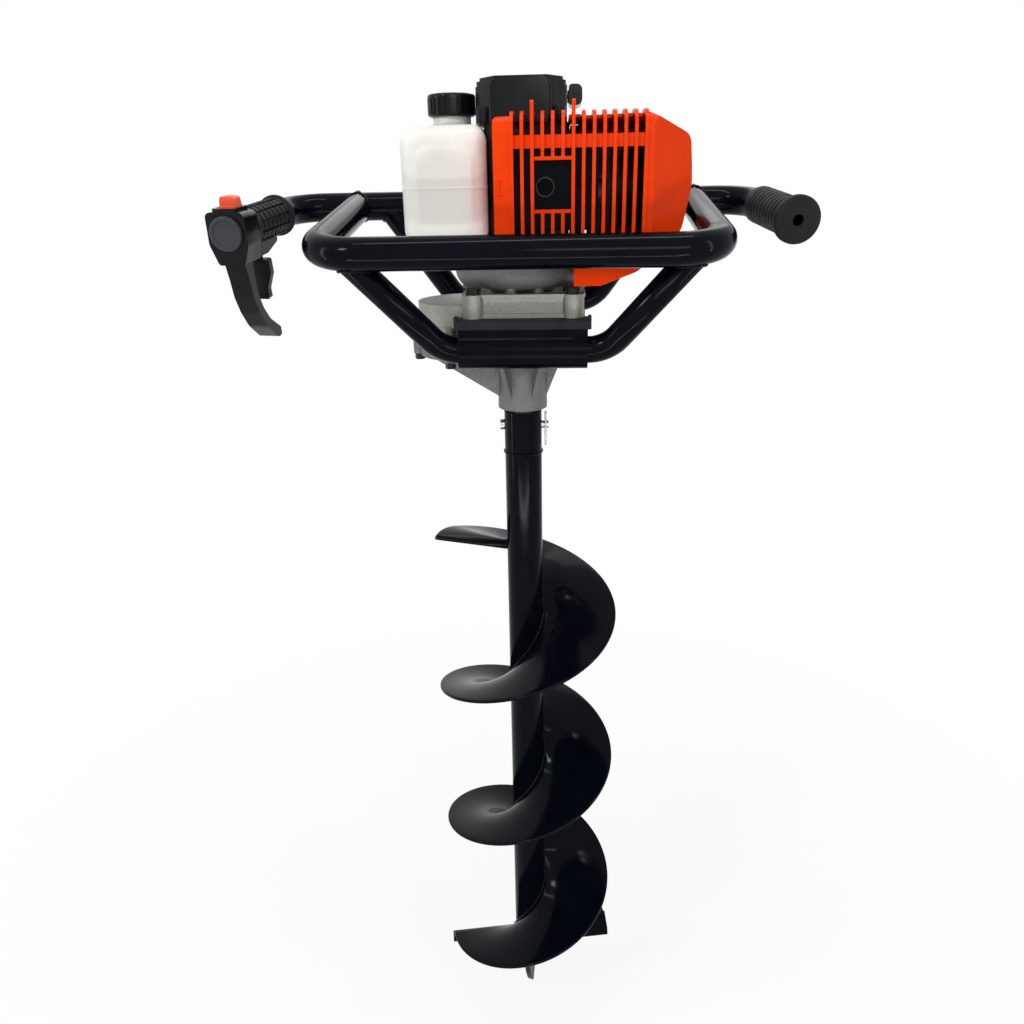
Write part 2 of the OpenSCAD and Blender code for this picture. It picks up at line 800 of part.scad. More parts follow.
module housing_half(side) {
  pins = [[lever_at, lever_z, lever_w / 2 + 2.4], [lock_at, lock_z, tail_w / 2 - 1]];
  union() {
    intersection() {
      difference() {
        housing_body();
        housing_space();
      }
      translate([0, side > 0 ? seat_gap : -deep, -deep / 2]) cube([deep, deep - seat_gap, deep]);
    }
    for (p = pins) translate([p.x, 0, p.y]) rotate([side > 0 ? -90 : 90, 0, 0])
      translate([0, 0, seat_gap]) cylinder(d = lever_pin_d, h = p.z - seat_gap);
  }
}
module housing_inner() {
  color([0.1, 0.1, 0.1]) left_hand() housing_half(1);
}
module housing_outer() {
  color([0.1, 0.1, 0.1]) left_hand() housing_half(-1);
}
module housing_cap() {
  color([0.08, 0.08, 0.08]) left_hand() rotate([0, 90, 0]) translate([0, 0, housing_to])
    rotate_extrude() polygon(concat(
    [[0, 0], [cap_disc_r, 0]],
    arc([cap_disc_r - 1.5, 3], 1.5, 0, 90, 3),
    [[cap_disc_r - 3, 4.5], [cap_disc_r - 4, 3.2], [0, 3.6]]
  ));
}
module stop_switch() {
  color([0.85, 0.16, 0.08]) left_hand() translate([switch_at, 0, pod_top - switch_deep + free_gap]) {
    translate([-switch_l / 2, -switch_w / 2, 0]) cube([switch_l, switch_w, switch_deep]);
    rotate([90, 0, 90]) translate([0, 0, -switch_l / 2 + 1]) linear_extrude(switch_l - 2)
      polygon(rounded([[-8, 4, 0], [8, 4, 0], [7, 13, 2.5], [-7, 13.6, 2.5]], 3));
  }
}
module throttle_lever() {
  k = lever_l / 90;
  color([0.07, 0.07, 0.07]) left_hand() translate([lever_at, 0, lever_z]) rotate([90, 0, 0])
    difference() {
      // Curved channel that opens to the back, closed at its tip
      translate([0, 0, -lever_w / 2]) linear_extrude(lever_w) polygon(rounded([
        [-6.5, 6, 5], [5, 6, 5], [9, -4, 4], [5 * k, -20 * k, 30], [2 * k, -38 * k, 30],
        [-5 * k, -54 * k, 25], [-16 * k, -70 * k, 25], [-37 * k, -87 * k, 8], [-44 * k, -84 * k, 2],
        [-43 * k, -77 * k, 2], [-24 * k, -64 * k, 25], [-14 * k, -51 * k, 25], [-8 * k, -37 * k, 25],
        [-6.5, -18 * k, 15]
      ], 4));
      translate([0, 0, -lever_w / 2 + lever_wall]) linear_extrude(lever_w - 2 * lever_wall) polygon([
        [-30, -10], [4.4, -10], [2.2 * k, -20 * k], [-0.8 * k, -38 * k], [-7.4 * k, -52.6 * k],
        [-18 * k, -68 * k], [-37 * k, -83.4 * k], [-40 * k, -82 * k], [-50 * k, -60 * k]
      ]);
      cylinder(d = lever_pin_d + 2 * run_gap, h = deep, center = true);
    }
}
module lever_lock() {
  top = housing_low - 2.5 - lock_z;
  color([0.08, 0.08, 0.08]) left_hand() translate([lock_at, 0, lock_z]) difference() {
    union() {
      rotate([90, 0, 0]) cylinder(r = 5, h = lock_w, center = true);
      translate([-lock_t / 2, -lock_w / 2, top - 1]) cube([lock_t, lock_w, 1 - top]);
      // Thumb plate with a rim along its top and a lip at its foot
      translate([-lock_t / 2, 0, 0]) rotate([90, 0, 90]) linear_extrude(lock_t) polygon(rounded([
        [-lock_half, top, 2], [lock_half, top, 2], [lock_half + 0.5, top - 14, 5], [8, top - 29, 3],
        [8.5, top - 38, 2], [-8.5, top - 38, 2], [-8, top - 29, 3], [-lock_half - 0.5, top - 14, 5]
      ], 3));
      translate([lock_t / 2 - 1, -lock_half + 1, top - 3]) cube([4, 2 * lock_half - 2, 3]);
      translate([lock_t / 2 - 1, -8, top - 38]) cube([3, 16, 3.5]);
    }
    rotate([90, 0, 0]) cylinder(d = lever_pin_d + 2 * run_gap, h = deep, center = true);
  }
}

// Fuel tank
module crankcase_pocket(grow) {
  translate([tank_pocket_x - grow, -tank_pocket_y - grow, tank_z - 1])
    cube([deep, 2 * (tank_pocket_y + grow), deep]);
}
module fuel_tank() {
  panel = 1.5;
  color([0.93, 0.93, 0.9]) difference() {
    union() {
      translate([tank_x, 0, tank_z]) soft_box(tank_w, tank_l, tank_h, tank_round);
      translate([tank_x, -tank_l / 2 + 4, tank_z + tank_h / 2]) rotate([90, 0, 0])
        linear_extrude(4 + panel) polygon(box_outline(tank_w - 24, tank_h - 20, 12));
      translate([cap_x, 0, tank_top - tank_round]) cylinder(d = filler_d, h = tank_round + neck_h);
    }
    crankcase_pocket(0);
    difference() {
      translate([tank_x, 0, tank_z]) soft_box(tank_w, tank_l, tank_h, tank_round, tank_wall);
      crankcase_pocket(tank_wall);
    }
    translate([cap_x, 0, tank_top - tank_round - 1]) cylinder(d = filler_d - 2 * tank_wall, h = deep);
  }
}
module fuel_cap() {
  ribs = 26;
  wall = 2;
  inside = filler_d / 2 + free_gap;
  color([0.07, 0.07, 0.07]) translate([cap_x, 0, cap_z]) difference() {
    rotate_extrude() polygon(concat(
      [[0, cap_h - cap_roof], [inside, cap_h - cap_roof], [inside, -0.5], [cap_d / 2 - wall, -0.5],
        [cap_d / 2, 1]],
      arc([cap_d / 2 - 2.5, cap_h - 2.5], 2.5, 0, 90, 4),
      [[cap_d / 2 - 7, cap_h], [cap_d / 2 - 8, cap_h - 1.2], [0, cap_h - 1.2]]
    ));
    for (k = [0:ribs - 1]) rotate([0, 0, 360 * k / ribs])
      translate([cap_d / 2 - 0.9, -1, 1.5]) cube([2, 2, cap_h - 5.5]);
  }
}

// Recoil starter
module starter_outline(grow) {
  w = starter_w / 2 + grow;
  l = starter_l / 2 + grow;
  polygon(rounded([[-w + 14, -l, 6], [w - 14, -l, 6], [w, -l + 18, 8], [w, l - 18, 8], [w - 14, l, 6],
    [-w + 14, l, 6], [-w, l - 18, 8], [-w, -l + 18, 8]], 3));
}
module starter_cover() {
  wall = 3;
  post_r = 6;
  edge = 7;
  lugs = [[-1, -1], [1, -1], [1, 1], [-1, 1]];
  color([0.06, 0.06, 0.06]) translate([starter_x, 0, case_top]) difference() {
    union() {
      difference() {
        union() {
          linear_extrude(starter_h - edge) starter_outline(0);
          translate([0, 0, starter_h - edge]) linear_extrude(edge - 3) starter_outline(-1);
          translate([0, 0, starter_h - 3]) linear_extrude(3) starter_outline(-3.5);
        }
        translate([0, 0, -1]) linear_extrude(starter_h - wall + 1) starter_outline(-wall - 3);
      }
      translate([-starter_x, 0, reel_z - case_top - 4])
        cylinder(r = post_r, h = starter_h - wall - reel_z + case_top + 5);
      for (q = lugs) translate([q.x * (starter_w / 2 - 7), q.y * (starter_l / 2 - 7), 0])
        cylinder(r = 6, h = 12);
    }
    for (k = [0:9]) rotate([0, 0, 36 * k + 18]) translate([14, -2, starter_h - wall - 1])
      cube([18, 4, wall + 2]);
    translate([starter_w / 2 - 12, handle_y, handle_z - case_top]) rotate([0, 90, 0])
      cylinder(d = rope_d + 3, h = 30);
    for (q = lugs) translate([q.x * (starter_w / 2 - 7), q.y * (starter_l / 2 - 7), 9])
      cylinder(r = 4, h = 4);
  }
}
module starter_reel() {
  bore = 6 + run_gap;
  color([0.2, 0.2, 0.2]) translate([0, 0, reel_z]) rotate_extrude() polygon([
    [bore, 0], [reel_r, 0], [reel_r, 3], [reel_r - 8, 4.5], [reel_r - 8, reel_w - 4.5],
      [reel_r, reel_w - 3],
    [reel_r, reel_w], [bore, reel_w]
  ]);
}
module starter_handle() {
  at = starter_x + starter_w / 2 + free_gap;
  color([0.07, 0.07, 0.07]) translate([at, handle_y, handle_z]) {
    difference() {
      union() {
        rotate([90, 0, 0]) translate([0, 0, -handle_l / 2]) linear_extrude(handle_l)
          polygon(rounded([[1, -handle_h / 2, 3], [handle_w, -handle_h / 2, 5],
            [handle_w, handle_h / 2, 5], [1, handle_h / 2, 3]], 4));
        rotate([0, 90, 0]) cylinder(r1 = 5, r2 = 7, h = 3);
      }
      translate([-1, 0, 0]) rotate([0, 90, 0]) cylinder(d = rope_d, h = handle_w - 2);
      for (y = [-1, 1]) translate([handle_w + 4, y * handle_l / 3.4, 0])
        cylinder(r = 6, h = deep, center = true);
    }
  }
}

// Crankcase with its round base over the fan
module crankcase() {
  base_t = 4;
  foot = fan_r - 0.5;
  length = crankcase_left + crankcase_right;
  middle = (crankcase_right - crankcase_left) / 2;
  color([0.55, 0.55, 0.56]) difference() {
    union() {
      translate([0, 0, fan_top]) cylinder(r = foot, h = base_t);
      translate([middle, 0, fan_top]) linear_extrude(crankcase_h)
        polygon(box_outline(length, 2 * crankcase_y, 9));
      for (y = [-1, 1], k = [0:3]) translate([-crankcase_left + 10 + 16 * k, y * crankcase_y, fan_top])
        linear_extrude(crankcase_h - 10) polygon(box_outline(3, 5, 1));
    }
    cylinder_bore(bore_d / 2 + seat_gap, crankcase_right + 5);
    translate([0, 0, cylinder_z - web_space / 2 - web_t - 1])
      cylinder(r = web_r + 2, h = web_space + 2 * web_t + 2);
    translate([0, 0, fan_top - 1]) cylinder(d = crank_d + 4, h = crankcase_h + 2);
    for (z = crank_bearing_heights()) translate([0, 0, z])
      cylinder(d = crank_bearing_d + 2 * seat_gap, h = crank_bearing_w);
    // Flat of the case that faces the tank
    translate([-crankcase_left - deep, -deep / 2, fan_top + base_t]) cube([deep, deep, deep]);
  }
}
function crank_bearing_heights() = [
  cylinder_z - web_space / 2 - web_t - 3 - crank_bearing_w,
  cylinder_z + web_space / 2 + web_t + 3
];
module cylinder_bore(r, to) {
  translate([0, 0, cylinder_z]) rotate([0, 90, 0]) cylinder(r = r, h = to);
}
module fan_case() {
  open_r = shoe_pin_r + shoe_pin_d + 8;
  in_r = fan_r - fan_wall;
  in_round = fan_round - fan_wall;
  color([0.62, 0.62, 0.63]) translate([0, 0, engine_z]) difference() {
    union() {
      rotate_extrude() polygon(concat(
        [[0, 0]], arc([fan_r - fan_round, fan_round], fan_round, -90, 0, 8), [[fan_r, fan_h], [0, fan_h]]
      ));
      // Lugs under the rounded edge, standing on the block
      for (a = [60, 120, 180, 235, 262, 290, 312, 0]) rotate([0, 0, a])
        translate([fan_r - 2 * fan_lug_r, 0, 0]) cylinder(r = fan_lug_r, h = fan_round / 2 + 1);
    }
    rotate_extrude() polygon(concat(
      [[0, fan_wall]], arc([in_r - in_round, fan_wall + in_round], in_round, -90, 0, 8),
      [[in_r, fan_h + 1], [0, fan_h + 1]]
    ));
    translate([0, 0, -1]) cylinder(r = open_r, h = fan_wall + 2);
  }
}
module flywheel() {
  rim_bevel = 6;
  blade_h = engine_z + fan_h - flywheel_z - flywheel_t - 3;
  color([0.5, 0.5, 0.52]) difference() {
    union() {
      translate([0, 0, flywheel_z]) rotate_extrude() polygon([
        [0, 0], [flywheel_r - rim_bevel, 0], [flywheel_r, rim_bevel], [flywheel_r, flywheel_t],
          [0, flywheel_t]
      ]);
      translate([0, 0, flywheel_z]) cylinder(r = crank_d / 2 + 8, h = flywheel_t + blade_h);
      for (k = [0:fan_blades - 1]) rotate([0, 0, 360 * k / fan_blades])
        translate([30, -1.2, flywheel_z + flywheel_t - 1]) cube([flywheel_r - 32, 2.4, blade_h + 1]);
      for (a = [0, 180]) rotate([0, 0, a]) translate([shoe_pin_r, 0, drum_z + 5])
        cylinder(d = shoe_pin_d, h = flywheel_z - drum_z - 4);
    }
    translate([0, 0, flywheel_z - 1]) cylinder(d = crank_d + 2 * seat_gap, h = deep);
  }
}
module crankshaft() {
  low = drum_z + 6;
  top = case_top + 5;
  color([0.7, 0.7, 0.72]) {
    translate([0, 0, low]) cylinder(d = crank_d, h = cylinder_z - web_space / 2 - low);
    translate([0, 0, cylinder_z - web_space / 2 - web_t]) cylinder(r = web_r, h = web_t);
    translate([0, 0, cylinder_z + web_space / 2]) cylinder(r = web_r, h = web_t);
    translate([0, 0, cylinder_z + web_space / 2])
      cylinder(d = crank_d, h = top - cylinder_z - web_space / 2);
  }
}
module clutch_shoes() {
  hub_r = crank_d / 2 + 4;
  gap = 5;
  color([0.45, 0.42, 0.38]) translate([0, 0, drum_z + 5]) difference() {
    cylinder(r = shoe_r, h = drum_h - 5);
    translate([0, 0, -1]) cylinder(r = hub_r, h = drum_h);
    translate([-gap / 2, -deep / 2, -1]) cube([gap, deep, drum_h]);
    for (a = [0, 180]) rotate([0, 0, a]) translate([shoe_pin_r, 0, -1])
      cylinder(d = shoe_pin_d + 2 * seat_gap, h = drum_h);
  }
}
module clutch_drum() {
  pinion_z = wheel_one_z - 0.5;
  color([0.6, 0.6, 0.62]) {
    translate([0, 0, drum_z]) difference() {
      cylinder(r = drum_r, h = drum_h);
      translate([0, 0, 3]) cylinder(r = drum_r - drum_wall, h = drum_h);
    }
    translate([0, 0, wheel_one_top + 0.5]) cylinder(d = lay_d, h = drum_z - wheel_one_top);
    translate([0, 0, pinion_z])
      gear(module_one, pinion_teeth, wheel_one_top + 1 - pinion_z, 180 / pinion_teeth);
  }
}
module piston() {
  color([0.75, 0.75, 0.76]) translate([0, 0, cylinder_z]) rotate([0, 90, 0]) difference() {
    translate([0, 0, piston_top - piston_l]) cylinder(d = bore_d - 2 * run_gap, h = piston_l);
    translate([0, 0, piston_top - piston_l - 1]) cylinder(d = bore_d - 8, h = piston_l - 4);
    for (i = [0, 1]) translate([0, 0, piston_top - 5 - 5 * i]) difference() {
      cylinder(d = bore_d + 2, h = 1.5);
      translate([0, 0, -1]) cylinder(d = bore_d - 4, h = 4);
    }
    translate([0, 0, crank_r + rod_l]) rotate([90, 0, 0])
      cylinder(d = wrist_d + 2 * seat_gap, h = deep, center = true);
  }
}
module connecting_rod() {
  eye = 16;
  rod_w = web_space - 2 * free_gap;
  color([0.6, 0.6, 0.62]) translate([crank_r, 0, cylinder_z]) {
    cylinder(d = eye, h = rod_w, center = true);
    translate([0, -4, -rod_w / 2 + 1]) cube([rod_l, 8, rod_w - 2]);
    translate([rod_l, 0, 0]) rotate([90, 0, 0]) cylinder(d = eye, h = rod_w, center = true);
    translate([rod_l, 0, 0]) rotate([90, 0, 0]) cylinder(d = wrist_d, h = bore_d - 6, center = true);
  }
}

// Air-cooled cylinder, its axis along +X
module fin_plate(t, y, z, r) {
  rotate([90, 0, 90]) linear_extrude(t) polygon(box_outline(2 * y, 2 * z, r));
}
module engine_cylinder() {
  flange_t = 5;
  color([0.5, 0.5, 0.51]) difference() {
    union() {
      translate([crankcase_right + seat_gap, 0, cylinder_z]) {
        rotate([0, 90, 0]) cylinder(r = barrel_r, h = head_x - crankcase_right);
        fin_plate(flange_t, fin_half - 2, fin_half - 4, 4);
      }
      for (i = [0:fins - 1]) translate([fin_first + fin_pitch * i, 0, cylinder_z])
        fin_plate(fin_t, fin_half, fin_half, 8);
      translate([head_x, 0, cylinder_z]) fin_plate(head_t, fin_half - 8, fin_half - 8, 8);
      for (y = [-1, 1]) translate([port_x - 10, y > 0 ? barrel_r - 8 : -muffler_back, cylinder_z - 12])
        cube([20, y > 0 ? cover_back - barrel_r + 8 : muffler_back - barrel_r + 8, 24]);
    }
    cylinder_bore(bore_d / 2, piston_top + 4);
    cylinder_bore(5 + seat_gap, plug_x + 2);
    translate([port_x, 0, cylinder_z]) rotate([90, 0, 0]) cylinder(r = 8, h = deep, center = true);
  }
}
module spark_plug() {
  thread = plug_x - piston_top - 5;
  color([0.85, 0.85, 0.83]) translate([plug_x + seat_gap, 0, cylinder_z]) rotate([0, 90, 0]) {
    translate([0, 0, -thread]) cylinder(r = 5, h = thread);
    cylinder(r = 9, h = 6, $fn = 6);
    cylinder(r = 4.5, h = 11);
  }
}
module plug_boot() {
  color([0.06, 0.06, 0.06]) translate([plug_x + 7, 0, cylinder_z]) difference() {
    union() {
      rotate([0, 90, 0]) cylinder(r = 7.5, h = 10);
      translate([5, 0, 0]) rotate([-90, 0, 0]) cylinder(r = 5.5, h = 22);
    }
    translate([-1, 0, 0]) rotate([0, 90, 0]) cylinder(r = 4.5 + seat_gap, h = 5.5);
  }
}
module ignition_coil() {
  foot_z = fan_top + 4 + seat_gap;
  color([0.1, 0.1, 0.1]) translate([0, crankcase_y + 5, foot_z]) {
    linear_extrude(5) polygon(box_outline(44, 3, 1));
    translate([-16, -1.5, 0]) cube([32, 16, 5]);
    translate([0, 6, 0]) soft_box(26, 14, 22, 4);
  }
}

// Muffler with its outlet to the front
module muffler() {
  depth = muffler_front - muffler_back;
  color([0.08, 0.08, 0.08]) translate([muffler_x, 0, cylinder_z]) difference() {
    union() {
      translate([0, -muffler_back, 0]) rotate([90, 0, 0]) translate([0, 0, seat_gap])
        linear_extrude(depth - 4)
        polygon(box_outline(muffler_w, muffler_h, 10));
      translate([0, -muffler_front + 4.1, 0]) rotate([90, 0, 0]) linear_extrude(4)
        polygon(box_outline(muffler_w - 8, muffler_h - 8, 8));
      translate([outlet_x - muffler_x, -muffler_front + 1, outlet_z - cylinder_z]) rotate([90, 0, 0])
        cylinder(r = outlet_r + 2, h = 3);
    }
    translate([outlet_x - muffler_x, -muffler_front - 4, outlet_z - cylinder_z]) rotate([-90, 0, 0])
      cylinder(r = outlet_r, h = 18);
  }
}

// Engine cover: a moulded shell, open behind its left half and below
function cover_front_outline(i) = rounded([
  [-cover_left + i, slot_low + 2, 0], [-cover_left + i, cover_top - 3 - i, 4],
    [cover_right - 45, cover_top - i, 20],
  [cover_right - 4 - i, cover_top - 18 - i, 10], [cover_right - i, cylinder_z + 4, 30],
  [cover_right - 9 - i, cylinder_z - 36, 20], [cover_right - 48 - i, cylinder_z - 66 + i, 20],
  [72, cover_low + i, 8], [49, cover_low + i, 0], [49, slot_low + 2, 0]
], 4);
function cover_side_outline(i) = rounded([
  [-cover_front + i, engine_z - 20, 0], [-cover_front + i, cover_top - i, cover_round - i],
  [cover_back - i, cover_top - i, 6], [cover_back - i, engine_z - 20, 0]
], 5);
function cover_plan(i) = rounded([
  [-cover_left - 1, -cover_front + i, 0], [cover_right - 37 - i, -cover_front + i, 4],
    [cover_right - i, -cover_front + 34, 10],
  [cover_right - i, cover_back - i, 8], [crankcase_right + 5 + i, cover_back - i, 0],
  [crankcase_right + 5 + i, -cover_notch - i, 0], [-cover_left - 1, -cover_notch - i, 0]
], 4);
module cover_block(i) {
  intersection() {
    rotate([90, 0, 0]) translate([0, 0, -deep / 2]) linear_extrude(deep)
      polygon(cover_front_outline(i));
    rotate([90, 0, 90]) translate([0, 0, -deep / 2]) linear_extrude(deep)
      polygon(cover_side_outline(i));
    linear_extrude(3 * deep) polygon(cover_plan(i));
  }
}
// Grille ribs that stand proud of the front and run back over the top edge
function rib_profile(low) = concat(
  [[-cover_front - rib_proud, low]],
  arc([-cover_front + cover_round, cover_top - cover_round], cover_round + rib_proud, 180, 90, 5),
  [[-cover_front + rib_back, cover_top + rib_proud], [-cover_front + rib_back + 3, cover_top - 1]],
  arc([-cover_front + cover_round, cover_top - cover_round], cover_round - 1, 90, 180, 5),
  [[-cover_front + 1, low]]
);
module grille_rib(x, low) {
  translate([x - bar_t / 2, 0, 0]) rotate([90, 0, 90]) linear_extrude(bar_t) polygon(rib_profile(low));
}
module window_fin(x) {
  foot = window_z + window_h;
  translate([x - bar_t / 2, 0, 0]) rotate([90, 0, 90]) linear_extrude(bar_t) polygon(rounded([
    [-cover_front - rib_proud, foot, 0], [-cover_front - rib_proud, cover_top + fin_rise, 3],
    [-cover_front + 10, cover_top + fin_rise, 4], [-cover_front + 22, cover_top - 1, 0],
    [-cover_front + 8, cover_top - 4, 0], [-cover_front + 2, cover_top - cover_round, 0],
    [-cover_front + 2, foot, 0]
  ], 3));
}
module cover_form() {
  slot_w = bar_pitch - bar_t;
  open_to = crankcase_right + 6 + cover_wall;
  post_x = port_x + 26;
  post_y = fin_half + 0.3;
  union() {
    for (k = [0:slot_count])
      let (x = slot_first + bar_pitch * k, framed = x > window_x && x < window_x + window_w)
      grille_rib(x, framed ? band_z - 2 : slot_low);
    for (x = [window_x - bar_t / 2, window_x + window_w + bar_t / 2]) window_fin(x);
    // Posts that carry the back wall on the fins
    for (z = [-22, 22]) translate([post_x, post_y, cylinder_z + z]) rotate([-90, 0, 0])
      cylinder(r = 5, h = cover_back - post_y - 1);
    difference() {
      cover_block(0);
      difference() {
        cover_block(cover_wall);
        translate([-deep / 2, -cover_front, band_z]) cube([deep, cover_wall + 2, band_h]);
        translate([window_x - bar_t, -cover_front, window_z - bar_t])
          cube([window_w + 2 * bar_t, cover_wall + 2, window_h + 2 * bar_t]);
      }
      // Open back and underside
      translate([-deep / 2, -cover_notch - cover_wall - 3, slot_low - deep])
        cube([deep / 2 + open_to, deep, 2 * deep]);
      translate([-deep / 2, -cover_front + cover_wall, 0])
        cube([deep / 2 + block_x + block_w / 2 + 3, deep, slot_low + 4]);
      translate([port_x - 16, 0, cylinder_z - 20]) cube([32, deep, 52]);
      // Grille slots that run over the top edge, broken by the band and the window
      for (k = [0:slot_count - 1]) difference() {
        translate([slot_first + bar_pitch * k + bar_t / 2, -cover_front - 1, slot_low])
          cube([slot_w, 38, deep]);
        translate([-deep / 2, -cover_front + 1.4, band_z]) cube([deep, deep, band_h]);
        translate([window_x - bar_t, -cover_front - 2, window_z - bar_t])
          cube([window_w + 2 * bar_t, deep, window_h + 2 * bar_t]);
        translate([-deep / 2, -cover_front + 12, slot_low - 1])
          cube([deep, deep, cover_top - slot_low - 10]);
      }
      translate([window_x, -cover_front - 1, window_z]) cube([window_w, 20, window_h]);
    }
  }
}
module grille_space(grow) {
  translate([-deep / 2, -deep, slot_low - grille_foot - grow])
    cube([deep / 2 + grille_right + grow, deep - grille_back + grow, deep]);
}
module engine_cover() {
  color([0.9, 0.22, 0.06]) difference() {
    cover_form();
    grille_space(seat_gap);
  }
}
module cover_grille() {
  color([0.9, 0.22, 0.06]) intersection() {
    cover_form();
    grille_space(0);
  }
}

// Carburettor and air cleaner, behind the cylinder
module carburettor() {
  low = cover_back + seat_gap;
  color([0.68, 0.68, 0.7]) difference() {
    union() {
      translate([carb_x, low, cylinder_z]) rotate([-90, 0, 0]) linear_extrude(8)
        polygon(box_outline(30, 24, 4));
      translate([carb_x, low + 8, cylinder_z + 4]) rotate([-90, 0, 0]) linear_extrude(carb_l - seat_gap)
        polygon(box_outline(2 * carb_half, 32, 5));
      translate([carb_x, bulb_y, bulb_z]) cylinder(r = bulb_r + 2, h = 12);
      translate([carb_x + carb_half - 1, choke_y, choke_z]) rotate([0, 90, 0])
        cylinder(r = choke_pin_r - run_gap, h = free_gap + 2.5);
    }
    translate([carb_x, bulb_y, bulb_z - 1]) cylinder(r = bulb_r + 0.3, h = bulb_travel + 2);
    translate([carb_x, 0, cylinder_z]) rotate([-90, 0, 0]) cylinder(r = 8, h = deep);
  }
}
module air_cleaner_base() {
  base_t = 6;
  color([0.09, 0.09, 0.09]) difference() {
    translate([cleaner_x, carb_back + seat_gap, cylinder_z + 22]) rotate([-90, 0, 0])
      linear_extrude(base_t)
      polygon(box_outline(cleaner_w - 6, cleaner_h + 12, 8));
    translate([carb_x, 0, cylinder_z]) rotate([-90, 0, 0]) cylinder(r = 8, h = deep);
  }
}
module air_cleaner_cover() {
  base_t = 6;
  color([0.07, 0.07, 0.07])
    translate([cleaner_x, carb_back + base_t + 2 * seat_gap + cleaner_l / 2, cylinder_z + 1])
      difference() {
    soft_box(cleaner_w, cleaner_l, cleaner_h, 9);
    soft_box(cleaner_w, cleaner_l, cleaner_h, 9, 3);
    for (k = [-3:3]) translate([9 * k - 2, cleaner_l / 2 - 5, 14]) cube([4, 10, 26]);
  }
}
module choke_lever() {
  color([0.8, 0.15, 0.08]) translate([carb_x + carb_half + free_gap, choke_y, choke_z]) difference() {
    union() {
      rotate([0, 90, 0]) cylinder(r = 5, h = 4);
      translate([0, -3, 0]) cube([4, 6, 22]);
      translate([0, -5, 20]) cube([10, 10, 4]);
    }
    rotate([0, 90, 0]) translate([0, 0, -1]) cylinder(r = choke_pin_r, h = 3);
  }
}
module primer_bulb() {
  flange = 1.5;
  sunk = 0.6;
  color([0.85, 0.75, 0.6]) translate([carb_x, bulb_y, bulb_z + sunk]) rotate([180, 0, 0])
    rotate_extrude()
    polygon(concat([[0, 0], [bulb_r, 0], [bulb_r, flange]], arc([0, flange], bulb_r - 1, 0, 90, 8)));
}

// Gear case
module case_plan(grow) {
  circle(r = main_r + grow);
  translate([-gear_centres, 0]) circle(r = lobe_r + grow);
  translate([-gear_centres, -main_r + 3 - grow]) square([gear_centres, 2 * (main_r - 3 + grow)]);
}
module lug_row(h) {
  for (q = case_lugs) translate([q.x, q.y, 0]) cylinder(r = lug_r, h = h);
}
module rib(to, low, rise) {
  translate([0, 2.5, 0]) rotate([90, 0, 0]) linear_extrude(5) polygon([
    [neck_d / 2 - 2, low], [to, rise], [to, chamber_z - 2], [neck_d / 2 - 2, chamber_z - 2]
  ]);
}
module gear_case_lower() {
  seat_z = chamber_z - 2 - output_bearing_w;
  color([0.66, 0.66, 0.67]) difference() {
    union() {
      translate([0, 0, floor_z]) linear_extrude(parting_z - floor_z) case_plan(0);
      translate([0, 0, parting_z - lug_low_h]) lug_row(lug_low_h);
      translate([0, 0, neck_z]) cylinder(d = neck_d, h = floor_z - neck_z + 1);
      translate([0, 0, floor_z - 22]) cylinder(r1 = neck_d / 2 - 1, r2 = main_r - 10, h = 23);
      translate([-gear_centres, 0, lay_low - 4])
        cylinder(d = small_bearing_d + 8, h = chamber_z - lay_low + 4);
      // Long gusset under the layshaft
      translate([0, 9, 0]) rotate([90, 0, 0]) linear_extrude(18) polygon([
        [0, neck_z + 12], [-neck_d / 2 + 2, neck_z + 12], [-gear_centres - lobe_r + 16, floor_z - 6],
        [-gear_centres - lobe_r + 8, floor_z + 1], [0, floor_z + 1]
      ]);
      for (a = [0, 60, 120, 240, 300]) rotate([0, 0, a]) rib(main_r - 8, neck_z + 8, floor_z - 8);
    }
    // Gear chamber
    translate([0, 0, chamber_z]) linear_extrude(deep) {
      circle(r = wheel_two_tip + tip_gap);
      translate([-gear_centres, 0]) circle(r = pinion_two_tip + tip_gap + 3);
      translate([-gear_centres, -pinion_two_tip - tip_gap])
        square([gear_centres, 2 * (pinion_two_tip + tip_gap)]);
    }
    translate([0, 0, seat_z]) cylinder(d = output_bearing_d + 2 * seat_gap, h = deep);
    translate([0, 0, neck_z - 1]) cylinder(d = output_d + 6, h = deep);
    translate([0, 0, neck_z - 1])
      cylinder(d = output_bearing_d + 2 * seat_gap, h = seal_w + output_bearing_w + 2);
    translate([-gear_centres, 0, lay_low]) cylinder(d = small_bearing_d + 2 * seat_gap, h = deep);
    for (q = case_lugs) translate([q.x, q.y, 0]) cylinder(d = lug_bolt_d + 2 * seat_gap, h = 3 * deep);
  }
}
